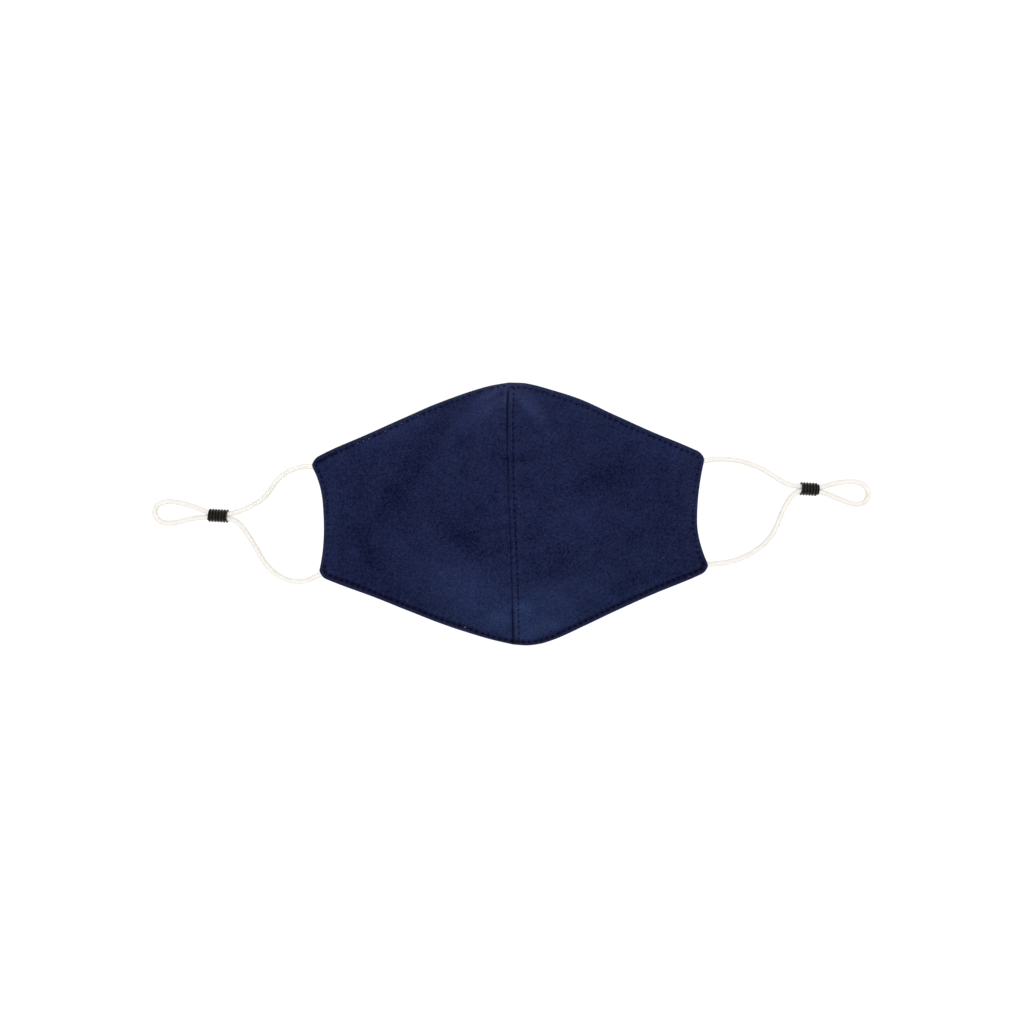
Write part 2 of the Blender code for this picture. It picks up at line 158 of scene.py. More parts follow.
# The hollow of an ear edge: its share of the full depth, the share of the way from chin to nose at which
# it is deepest, and its power
EAR_HOLLOWS: dict[Side, tuple[float, float, float]] = {
    Side.LEFT: (0.92, 0.61, 2.3),
    Side.RIGHT: (1.06, 0.39, 1.8),
}
HEM_ROWS: dict[Side, tuple[HemStation, ...]] = {
    Side.LEFT: table(
        HemStation,
        (-112, 3, 3.1), (-60, 2.8, 2.9), (-30, 2.8, 2.8), (-12, 2.2, 2.1), (0, 2, 2),
    ),
    Side.RIGHT: table(
        HemStation,
        (0, 3.1, 2.1), (12, 3.3, 2.3), (33, 3.8, 2.7), (60, 3.4, 2.9), (85, 2.8, 3.1), (112, 3, 3),
    ),
}
SEAM_SHADES: tuple[SeamShade, ...] = table(
    SeamShade,
    (-74, 0.9, 0.95), (-60, 0.85, 0.8), (-54, 0.8, 0.75), (-48, 0.45, 0.5), (-30, 0.5, 0.52),
    (-20, 0.58, 0.5), (-8, 0.25, 0.4), (0, 0.48, 0.4), (16, 0.36, 0.42), (26, 0.55, 0.52),
    (38, 0.44, 0.42), (46, 0.66, 0.62), (60, 0.92, 0.85), (68, 0.95, 0.85), (71, 0.1, 0.6),
)
DOME: tuple[DomeStation, ...] = table(
    DomeStation,
    (0, 1, 0.56, 2, 2.8, 0.35), (0.06, 0.968, 0.56, 2, 2.8, 0.38), (0.14, 0.92, 0.56, 2, 2.7, 0.48),
    (0.26, 0.825, 0.55, 2.1, 2.5, 0.72), (0.42, 0.645, 0.54, 2.2, 2.3, 1),
    (0.6, 0.41, 0.53, 2.3, 2.2, 1), (0.78, 0.185, 0.52, 2.3, 2.2, 0.65),
    (0.9, 0.05, 0.51, 2.2, 2.2, 0.25), (1, 0, 0.5, 2, 2, 0),
)
FOLDS: tuple[Fold, ...] = table(
    Fold,
    (Side.LEFT, 0.3, 0.86, 0.58, 0.6, 0.22, -0.055), (Side.LEFT, 0.58, 0.6, 0.8, 0.4, 0.24, -0.05),
    (Side.LEFT, 0.12, 0.93, 0.3, 0.8, 0.16, 0.045), (Side.LEFT, 0.4, 0.53, 0.16, 0.34, 0.2, -0.045),
    (Side.RIGHT, 0.09, 0.92, 0.2, 0.79, 0.15, 0.045), (Side.RIGHT, 0.38, 0.75, 0.6, 0.6, 0.3, -0.05),
    (Side.RIGHT, 0.62, 0.53, 0.8, 0.56, 0.22, -0.03),
)

Route = dict[Side, tuple[tuple[float, float], ...]]
# The routes of the cords on the table: from the nose corner to the adjuster, round the loop beyond it,
# and from the adjuster to the chin corner
NOSE_STRAND: Route = {
    Side.LEFT: (
        (-0.1160, 0.0292), (-0.1206, 0.0283), (-0.1253, 0.0265), (-0.1297, 0.0237), (-0.1332, 0.0200),
        (-0.1361, 0.0159), (-0.1389, 0.0126), (-0.1423, 0.0098), (-0.1462, 0.0077), (-0.1502, 0.0058),
        (-0.1541, 0.0042),
    ),
    Side.RIGHT: (
        (0.1160, 0.0291), (0.1206, 0.0292), (0.1257, 0.0289), (0.1308, 0.0280), (0.1359, 0.0264),
        (0.1411, 0.0244), (0.1462, 0.0217), (0.1508, 0.0187), (0.1551, 0.0159), (0.1593, 0.0138),
    ),
}
LOOP: Route = {
    Side.LEFT: (
        (-0.1766, 0.0063), (-0.1808, 0.0077), (-0.1852, 0.0090), (-0.1898, 0.0101), (-0.1944, 0.0105),
        (-0.1985, 0.0096), (-0.2011, 0.0074), (-0.2019, 0.0046), (-0.2010, 0.0016), (-0.1984, -0.0008),
        (-0.1945, -0.0017), (-0.1900, -0.0014), (-0.1855, -0.0004), (-0.1809, 0.0005), (-0.1766, 0.0011),
    ),
    Side.RIGHT: (
        (0.1817, 0.0135), (0.1866, 0.0145), (0.1914, 0.0150), (0.1959, 0.0149), (0.1999, 0.0139),
        (0.2026, 0.0117), (0.2038, 0.0088), (0.2034, 0.0057), (0.2012, 0.0031), (0.1976, 0.0022),
        (0.1935, 0.0029), (0.1895, 0.0043), (0.1854, 0.0062), (0.1817, 0.0078),
    ),
}
CHIN_STRAND: Route = {
    Side.LEFT: (
        (-0.1556, -0.0013), (-0.1530, -0.0039), (-0.1501, -0.0077), (-0.1473, -0.0122), (-0.1444, -0.0173),
        (-0.1413, -0.0229), (-0.1377, -0.0278), (-0.1335, -0.0317), (-0.1289, -0.0344), (-0.1241, -0.0360),
        (-0.1193, -0.0363), (-0.1147, -0.0353), (-0.1116, -0.0338),
    ),
    Side.RIGHT: (
        (0.1605, 0.0077), (0.1577, 0.0038), (0.1554, -0.0004), (0.1534, -0.0048), (0.1514, -0.0095),
        (0.1488, -0.0141), (0.1452, -0.0184), (0.1406, -0.0222), (0.1354, -0.0253), (0.1296, -0.0278),
        (0.1237, -0.0294), (0.1179, -0.0302),
    ),
}


def smooth_step(share: Array) -> Array:
    """Rise from 0 to 1 with level ends as share goes from 0 to 1: s * s * (3 - 2s).

    Args:
        share: any numbers; those below 0 count as 0 and those above 1 as 1.

    Returns:
        The risen shares.
    """
    share = np.clip(share, 0.0, 1.0)
    return share**2 * (3 - 2 * share)


def bell(distance: Array, width: float) -> Array:
    """1 at distance 0 and falling to 1/e at width: exp(-(distance / width) squared)."""
    return np.exp(-((distance / width) ** 2))


def unit(vectors: Array) -> Array:
    """The vectors along the last axis, each divided by its length."""
    return vectors / np.linalg.norm(vectors, axis=-1, keepdims=True)


def cubic(u: Array, start: Array, end: Array, leave: Array, arrive: Array) -> Array:
    """Go from start to end as u goes from 0 to 1, with the slope leave at start and arrive at end."""
    rest = (1 - u) ** 2
    return start * (1 + 2 * u) * rest + leave * u * rest + end * u**2 * (3 - 2 * u) - arrive * u**2 * (1 - u)


def smooth_column(rows: Sequence[NamedTuple], column: str, at: Array) -> Array:
    """Read a table's column at any stations along a cubic curve with no overshoot.

    The curve's slope at a row is the harmonic mean of the slopes on both sides, or zero at a high
    or low point.

    Args:
        rows: the table, with a station in each row.
        column: name of the column.
        at: stations to read it at.

    Returns:
        The column's values there.
    """
    stations = np.array([row.station for row in rows])
    values = np.array([getattr(row, column) for row in rows])
    widths = np.diff(stations)
    rises = np.diff(values) / widths
    slopes = np.concatenate([rises[:1], np.zeros(len(rises) - 1), rises[-1:]])
    before, after = rises[:-1], rises[1:]
    same_way = before * after > 0
    slopes[1:-1][same_way] = 2 * before[same_way] * after[same_way] / (before + after)[same_way]
    index = np.clip(np.searchsorted(stations, at, side="right") - 1, 0, len(widths) - 1)
    width = widths[index]
    u = (at - stations[index]) / width
    start, end = values[index], values[index + 1]
    return cubic(u, start, end, slopes[index] * width, slopes[index + 1] * width)


def arc_lengths(line: Array) -> Array:
    """Distance of each point of a line from its start, along the line."""
    return np.concatenate([[0.0], np.cumsum(np.linalg.norm(np.diff(line, axis=0), axis=1))])


def smoothed(numbers: Array, width: int) -> Array:
    """Numbers blurred by a bell-shaped window of this many, an odd number."""
    window = np.hanning(width) / np.hanning(width).sum()
    return np.convolve(np.pad(numbers, width // 2, mode="edge"), window, "valid")


def columns_at(at: Array, reach: Array, line: Array) -> Array:
    """X and Y of a line at lengths along it, between its points at the lengths reach."""
    return np.column_stack([np.interp(at, reach, line[:, k]) for k in (0, 1)])


def add_object(name: str, data: bpy.types.ID) -> bpy.types.Object:
    """Make an object of a mesh, light or camera at the origin, and link it to the scene."""
    obj = bpy.data.objects.new(name, data)
    bpy.context.scene.collection.objects.link(obj)
    return obj


class Wire:
    """An output socket of a material. Arithmetic on it adds Math nodes to the same material."""

    def __init__(self, graph: "Graph", socket: bpy.types.NodeSocket) -> None:
        """Wrap a socket of a graph."""
        self.graph = graph
        self.socket = socket

    def __add__(self, other: Number) -> "Wire":
        """Sum of this and another value."""
        return self.graph.math("ADD", self, other)

    def __radd__(self, other: Number) -> "Wire":
        """Sum of another value and this."""
        return self.graph.math("ADD", other, self)

    def __sub__(self, other: Number) -> "Wire":
        """This less another value."""
        return self.graph.math("SUBTRACT", self, other)

    def __rsub__(self, other: Number) -> "Wire":
        """Another value less this."""
        return self.graph.math("SUBTRACT", other, self)

    def __mul__(self, other: Number) -> "Wire":
        """Product of this and another value."""
        return self.graph.math("MULTIPLY", self, other)

    def __rmul__(self, other: Number) -> "Wire":
        """Product of another value and this."""
        return self.graph.math("MULTIPLY", other, self)


class Graph:
    """The nodes of one material, with a Principled shader on its output."""

    def __init__(self, name: str) -> None:
        """Make a material of this name whose node tree holds only its output and shader.

        Args:
            name: of the material.
        """
        self.material = bpy.data.materials.new(name)
        self.material.use_nodes = True
        self.tree = self.material.node_tree
        self.tree.nodes.clear()
        self.shader = self.node("ShaderNodeBsdfPrincipled")
        self.node("ShaderNodeOutputMaterial", inputs={"Surface": self.shader.outputs[0]})

    def node(self, kind: str, settings: dict | None = None, inputs: dict | None = None) -> bpy.types.Node:
        """Add a node.

        Args:
            kind: the node's type.
            settings: its properties, which are set first.
            inputs: values or links of its sockets, by name or number.

        Returns:
            The node.
        """
        made = self.tree.nodes.new(kind)
        for key, value in (settings or {}).items():
            setattr(made, key, value)
        for key, value in (inputs or {}).items():
            self.feed(made.inputs[key], value)
        return made

    def feed(self, target: bpy.types.NodeSocket, value: object) -> None:
        """Link a wire or socket to a socket, or set a plain value on it.

        Args:
            target: the socket.
            value: wire, socket or plain value.
        """
        source = value.socket if isinstance(value, Wire) else value
        if isinstance(source, bpy.types.NodeSocket):
            self.tree.links.new(source, target)
        else:
            target.default_value = source

    def wire(self, node: bpy.types.Node, output: int | str = 0) -> Wire:
        """Wrap an output of a node."""
        return Wire(self, node.outputs[output])

    def math(self, operation: str, *values: Number) -> Wire:
        """The result of a Math node on one to three values."""
        inputs = dict(enumerate(values))
        return self.wire(self.node("ShaderNodeMath", {"operation": operation}, inputs))

    def ramp(self, value: Number, low: float, high: float) -> Wire:
        """Rise smoothly from 0 to 1 as value goes from low to high, or fall where low is above high.

        Args:
            value: what is read.
            low: where it is 0.
            high: where it is 1.

        Returns:
            The rise.
        """
        rising = low < high
        ends = (low, high, 0.0, 1.0) if rising else (high, low, 1.0, 0.0)
        inputs = dict(enumerate((value, *ends)))
        return self.wire(self.node("ShaderNodeMapRange", {"interpolation_type": "SMOOTHSTEP"}, inputs))

    def mix(self, factor: Number, first: object, second: object, blend: str = "MIX") -> Wire:
        """Mix two colours.

        Args:
            factor: share of the second colour.
            first: colour or wire.
            second: colour or wire.
            blend: how they are mixed.

        Returns:
            The mixed colour.
        """
        inputs = {0: factor, 6: colour_of(first), 7: colour_of(second)}
        node = self.node("ShaderNodeMix", {"data_type": "RGBA", "blend_type": blend}, inputs)
        return self.wire(node, 2)

    def place(self) -> Wire:
        """Object coordinates, which are the mask's own metres."""
        return self.wire(self.node("ShaderNodeTexCoord"), "Object")

    def distance(self, first: object, second: object) -> Wire:
        """Distance between two places."""
        node = self.node("ShaderNodeVectorMath", {"operation": "DISTANCE"}, {0: first, 1: second})
        return self.wire(node, "Value")

    def wave(self, value: Wire, repeat: float = 1.0) -> Wire:
        """Sine of a value that comes round once in every repeat."""
        return self.math("SINE", value * (2 * math.pi / repeat))

    def parts(self, vector: Wire) -> tuple[Wire, Wire]:
        """The first two numbers of a vector."""
        split = self.node("ShaderNodeSeparateXYZ", None, {0: vector})
        return self.wire(split, 0), self.wire(split, 1)

    def noise(self, place: Wire, per_metre: float, detail: float = 2.0, roughness: float = 0.5) -> Wire:
        """Soft noise from 0 to 1 with this many features in a metre."""
        inputs = {"Vector": place, "Scale": per_metre, "Detail": detail, "Roughness": roughness}
        return self.wire(self.node("ShaderNodeTexNoise", None, inputs))

    def uv(self, name: str) -> tuple[Wire, Wire]:
        """The two coordinates of a UV map of this name."""
        return self.parts(self.wire(self.node("ShaderNodeUVMap", {"uv_map": name}), "UV"))

    def value(self, name: str) -> Wire:
        """A number that the mesh holds for each point, by name."""
        return self.wire(self.node("ShaderNodeAttribute", {"attribute_name": name}), "Fac")

    def bump(self, height: Number, depth: float, strength: float = 1.0) -> Wire:
        """A bumped normal: height 1 stands this many metres above height 0."""
        inputs = {"Height": height, "Distance": depth, "Strength": strength}
        return self.wire(self.node("ShaderNodeBump", None, inputs), "Normal")

    def surface(self, colour: object, roughness: Number, normal: Wire | None, **constants: object) -> None:
        """Feed the shader.

        Args:
            colour: base colour, a wire or a plain colour.
            roughness: a wire or a number.
            normal: the bumped normal, or None.
            constants: plain values of other sockets, with _ for the spaces of their names.
        """
        self.feed(self.shader.inputs["Base Color"], colour_of(colour))
        self.feed(self.shader.inputs["Roughness"], roughness)
        if normal is not None:
            self.feed(self.shader.inputs["Normal"], normal)
        for name, value in constants.items():
            self.feed(self.shader.inputs[name.replace("_", " ")], value)


def colour_of(value: object) -> object:
    """A plain colour with its alpha, or the wire that was given."""
    return (*value, 1.0) if isinstance(value, tuple) and len(value) == 3 else value


@dataclass
class Shape:
    """Points and faces of a mesh, as whole arrays.

    Attributes:
        points: places, one row each.
        quads: point numbers of the four-sided faces.
        triangles: point numbers of the three-sided faces.
        uvs: UV maps by name, with one pair for each corner of the quads and then of the triangles.
        values: numbers by name, with one for each point.
    """

    points: Array
    quads: Array
    triangles: Array = field(default_factory=lambda: np.zeros((0, 3), int))
    uvs: dict[str, Array] = field(default_factory=dict)
    values: dict[str, Array] = field(default_factory=dict)

    def volume(self) -> float:
        """Signed volume in cubic metres, which is negative where the faces point inwards."""
        corners = [self.quads[:, [0, 1, 2]], self.quads[:, [0, 2, 3]], self.triangles]
        a, b, c = np.moveaxis(self.points[np.concatenate(corners)], 1, 0)
        return float(np.einsum("ij,ij->", a, np.cross(b, c)) / 6)

    def turned_out(self) -> "Shape":
        """The same shape with its faces pointing outwards.

        Returns:
            This shape, or its turned copy.
        """
        if self.volume() >= 0:
            return self
        flipped = {}
        for name, pairs in self.uvs.items():
            four = pairs[: self.quads.size].reshape(-1, 4, 2)[:, ::-1].reshape(-1, 2)
            three = pairs[self.quads.size :].reshape(-1, 3, 2)[:, ::-1].reshape(-1, 2)
            flipped[name] = np.concatenate([four, three])
        return Shape(self.points, self.quads[:, ::-1], self.triangles[:, ::-1], flipped, self.values)

    def to_object(self, name: str, material: bpy.types.Material) -> bpy.types.Object:
        """Make a smooth-shaded mesh object at the origin.

        Args:
            name: name of the piece.
            material: its finish.

        Returns:
            The object, linked to the scene.
        """
        shape = self.turned_out()
        mesh = bpy.data.meshes.new(name)
        mesh.vertices.add(len(shape.points))
        mesh.vertices.foreach_set("co", shape.points.astype(np.float32).ravel())
        loops = np.concatenate([shape.quads.ravel(), shape.triangles.ravel()]).astype(np.int32)
        sizes = np.repeat([4, 3], [len(shape.quads), len(shape.triangles)])
        mesh.loops.add(len(loops))
        mesh.loops.foreach_set("vertex_index", loops)
        mesh.polygons.add(len(sizes))
        mesh.polygons.foreach_set("loop_start", (np.cumsum(sizes) - sizes).astype(np.int32))
        mesh.update(calc_edges=True)
        for key, pairs in shape.uvs.items():
            layer = mesh.uv_layers.new(name=key)
            layer.uv.foreach_set("vector", pairs.astype(np.float32).ravel())
        for key, numbers in shape.values.items():
            attribute = mesh.attributes.new(key, "FLOAT", "POINT")
            attribute.data.foreach_set("value", numbers.astype(np.float32).ravel())
        mesh.validate()
        mesh.shade_smooth()
        mesh.materials.append(material)
        return add_object(name, mesh)


def loft(rings: Array, closed: bool, u: Array, v: Array, map_name: str) -> Shape:
    """Skin a row of rings with quads, and close its two ends with fans unless it runs round in a loop.

    Args:
        rings: points, ring by ring: rings by sides by 3.
        closed: whether the last ring joins the first.
        u: the map's first coordinate at each side, with one more for the side that closes the ring.
        v: the map's second coordinate at each ring, with one more where the rings run in a loop.
        map_name: name of the UV map.

    Returns:
        The closed shape.
    """
    count, sides = rings.shape[:2]
    spans = count if closed else count - 1
    ring, side = (index.ravel() for index in np.meshgrid(np.arange(spans), np.arange(sides), indexing="ij"))
    corners = ((0, 0), (0, 1), (1, 1), (1, 0))
    quads = np.stack([(ring + on) % count * sides + (side + round_by) % sides for on, round_by in corners], 1)
    pairs = np.stack([np.column_stack([u[side + round_by], v[ring + on]]) for on, round_by in corners], 1)
    points = rings.reshape(-1, 3)
    if closed:
        return Shape(points, quads, uvs={map_name: pairs.reshape(-1, 2)})
    poles = np.stack([rings[0].mean(0), rings[-1].mean(0)])
    side = np.arange(sides)
    first = np.column_stack([np.full(sides, len(points)), (side + 1) % sides, side])
    last = np.column_stack([np.full(sides, len(points) + 1), side, (side + 1) % sides])
    last[:, 1:] += (count - 1) * sides
    tips = np.zeros((2 * sides * 3, 2))
    tips[: sides * 3, 1], tips[sides * 3 :, 1] = v[0], v[-1]
    uvs = {map_name: np.concatenate([pairs.reshape(-1, 2), tips])}
    return Shape(np.concatenate([points, poles]), quads, np.concatenate([first, last]), uvs)


@dataclass(frozen=True)
class MaskPlan:
    """Outline of the two panels on the table, from the same sizes as the CAD.

    Attributes:
        width: between the outermost corners.
        length: from the chin edge to the nose edge.
        seam_offset: how far to the right of the middle the seam's ends lie.
        seam_bow: how far the seam curves to the left.
        seam_bow_at: share of the way from chin to nose at which it curves most.
        ear_hollow: how far an ear edge curves in.
        corner_radius: of the ear corners.
    """

    width: float = 0.2244
    length: float = 0.1498
    seam_offset: float = 0.0006
    seam_bow: float = 0.0013
    seam_bow_at: float = 0.75
    ear_hollow: float = 0.0050
    corner_radius: float = 0.0040

    @property
    def corner_start(self) -> float:
        """Share of the way across at which a corner's round starts."""
        return 1 - self.corner_radius / (self.width / 2)

    def seam_line(self, along: Array) -> Array:
        """X of the centre seam: a bow to the left, t**power * (1 - t), deepest at seam_bow_at."""
        power = self.seam_bow_at / (1 - self.seam_bow_at)
        deepest = self.seam_bow_at**power * (1 - self.seam_bow_at)
        return self.seam_offset - self.seam_bow * along**power * (1 - along) / deepest

    def ear_line(self, side: Side, along: Array) -> Array:
        """X of an ear edge: a straight line between its corners, less the hollow 1 - u**power.

        Args:
            side: which half.
            along: share of the way from chin to nose.

        Returns:
            X.
        """
        nose, _, chin, _ = EAR_CORNERS[side]
        corner = chin + (nose - chin) * along
        depth, deepest_at, power = EAR_HOLLOWS[side]
        away = np.maximum((along - deepest_at) / (1 - deepest_at), (deepest_at - along) / deepest_at)
        return side.value * (corner * self.width / 2 - self.ear_hollow * depth * (1 - away**power))

    def edge_line(self, side: Side, column: str, across: Array) -> Array:
        """Y of a nose or chin edge. Its last stretch, before the ear edge, is a quarter of an ellipse.

        Args:
            side: which half.
            column: nose_edge or chin_edge.
            across: share of the way from seam to ear.

        Returns:
            Y.
        """
        start = self.corner_start
        turn = np.clip((across - start) / (1 - start), 0.0, 1.0)
        line = smooth_column(OUTLINES[side], column, across) * self.length / 2
        return line - np.sign(line) * self.corner_radius * (1 - np.sqrt(1 - turn**2))

    def place(self, side: Side, across: Array, along: Array) -> tuple[Array, Array]:
        """X and Y of a place on a panel, from its shares of the way across and along.

        Args:
            side: which half.
            across: share of the way from seam to ear.
            along: share of the way from chin to nose.

        Returns:
            X and Y.
        """
        across, along = np.asarray(across, float), np.asarray(along, float)
        seam = self.seam_line(along)
        x = seam + (self.ear_line(side, along) - seam) * across
        chin = self.edge_line(side, "chin_edge", across)
        nose = self.edge_line(side, "nose_edge", across)
        return x, chin + (nose - chin) * along

    def corner(self, side: Side, nose: bool) -> Array:
        """Where the cord of the nose or chin corner goes into the round of that corner."""
        entry = EAR_CORNERS[side][1 if nose else 3]
        across = self.corner_start + (1 - self.corner_start) * entry
        return np.array(self.place(side, across, 1.0 if nose else 0.0))


@dataclass(frozen=True)
class Elastic:
    """Ivory braided elastic: pale strands, a faint mottle and a few darker flecks.

    Attributes:
        pale: colour of the strands.
        shade: colour of the painted shade between the strands and on the flanks, and of the mottle's darker
            tone.
        fleck: colour of the small flecks.
        spot: colour of the one faint yellow spot.
        spot_at: where that spot is, or None.
        strands: of the braid, around the cord.
        braid_pitch: length of the braid's repeat along the cord.
        fibre_pitch: of the fine fibres along the cord.
        relief: height of the mottle and the fibres.
        shares: of the shade, between the strands, in the mottle, in broad patches and on the flanks.
        fleck_share: how strongly the flecks show.
        spot_share: how strongly the spot shows.
        spot_radii: where the spot begins, and where it is full.
    """

    pale: Colour = (0.935, 0.910, 0.860)
    shade: Colour = (0.765, 0.730, 0.655)
    fleck: Colour = (0.55, 0.48, 0.36)
    spot: Colour = (0.86, 0.74, 0.42)
    spot_at: Place | None = None
    strands: int = 8
    braid_pitch: float = 0.0013
    fibre_pitch: float = 0.00075
    relief: float = 0.00003
    shares: tuple[float, float, float, float] = (0.03, 0.09, 0.14, 0.86)
    fleck_share: float = 0.40
    spot_share: float = 0.60
    spot_radii: tuple[float, float] = (0.0018, 0.0004)

    def material(self, name: str) -> bpy.types.Material:
        """Make the finish. It reads the map braid: turns round the cord, and metres along it.

        Args:
            name: of the material.

        Returns:
            The material.
        """
        graph = Graph(name)
        place = graph.place()
        turn, along = graph.uv("braid")
        mottle = graph.noise(place, 420.0, 3.0, 0.6)
        broad = graph.noise(place, 55.0, 2.0)
        # Painted shade between the braid's strands and on the flanks, where the cord turns from the light;
        # the mottle and broad patches are random tone
        braid = graph.wave(turn, 1 / self.strands) * graph.wave(along, self.braid_pitch)
        flank = graph.math("ABSOLUTE", graph.math("COSINE", turn * (2 * math.pi)))
        shaded = (
            graph.ramp(braid, 0.25, -0.6), graph.ramp(mottle, 0.62, 0.36),
            graph.ramp(broad, 0.62, 0.38), graph.ramp(flank, 0.35, 0.98),
        )
        tone = sum(mask * share for mask, share in zip(shaded, self.shares))
        colour = graph.mix(tone, self.pale, self.shade)
        specks = graph.ramp(graph.noise(place, 800.0, 1.0), 0.70, 0.76)
        colour = graph.mix(specks * self.fleck_share, colour, self.fleck)
        if self.spot_at is not None:
            near_spot = graph.ramp(graph.distance(place, self.spot_at), *self.spot_radii)
            colour = graph.mix(near_spot * self.spot_share, colour, self.spot)
        fibres = graph.wave(turn * (2 * self.strands) + along * (1 / self.fibre_pitch))
        normal = graph.bump(mottle * 0.8 + fibres * 0.2, self.relief)
        graph.surface(colour, 0.82, normal, Specular_IOR_Level=0.25, Sheen_Weight=0.25, Sheen_Roughness=0.5)
        return graph.material


@dataclass(frozen=True)
class Rubber:
    """Satin black rubber with a painted highlight, mixed with dust, on its raised places.

    Attributes:
        black: colour in the valleys.
        worn: colour of the painted highlight on the crests, where dust lies.
        clean: roughness where there is no dust.
        dusty: how much rougher the dust is.
        pores: height of the fine pores.
    """

    black: Colour = (0.0058, 0.0052, 0.0042)
    worn: Colour = (0.036, 0.031, 0.024)
    clean: float = 0.40
    dusty: float = 0.16
    pores: float = 0.00003

    def material(self, name: str) -> bpy.types.Material:
        """Make the finish. It reads the value crest, which is 1 on the ribs' tops.

        Args:
            name: of the material.

        Returns:
            The material.
        """
        graph = Graph(name)
        place = graph.place()
        crest = graph.value("crest")
        dust = graph.noise(place, 700.0, 3.0, 0.6)
        # Painted highlight on the ribs' crests, shown where the dust noise is high
        colour = graph.mix(crest * graph.ramp(dust, 0.30, 0.70), self.black, self.worn)
        normal = graph.bump(graph.noise(place, 2600.0, 2.0), self.pores)
        graph.surface(colour, self.clean + self.dusty * dust, normal, Specular_IOR_Level=0.22)
        return graph.material


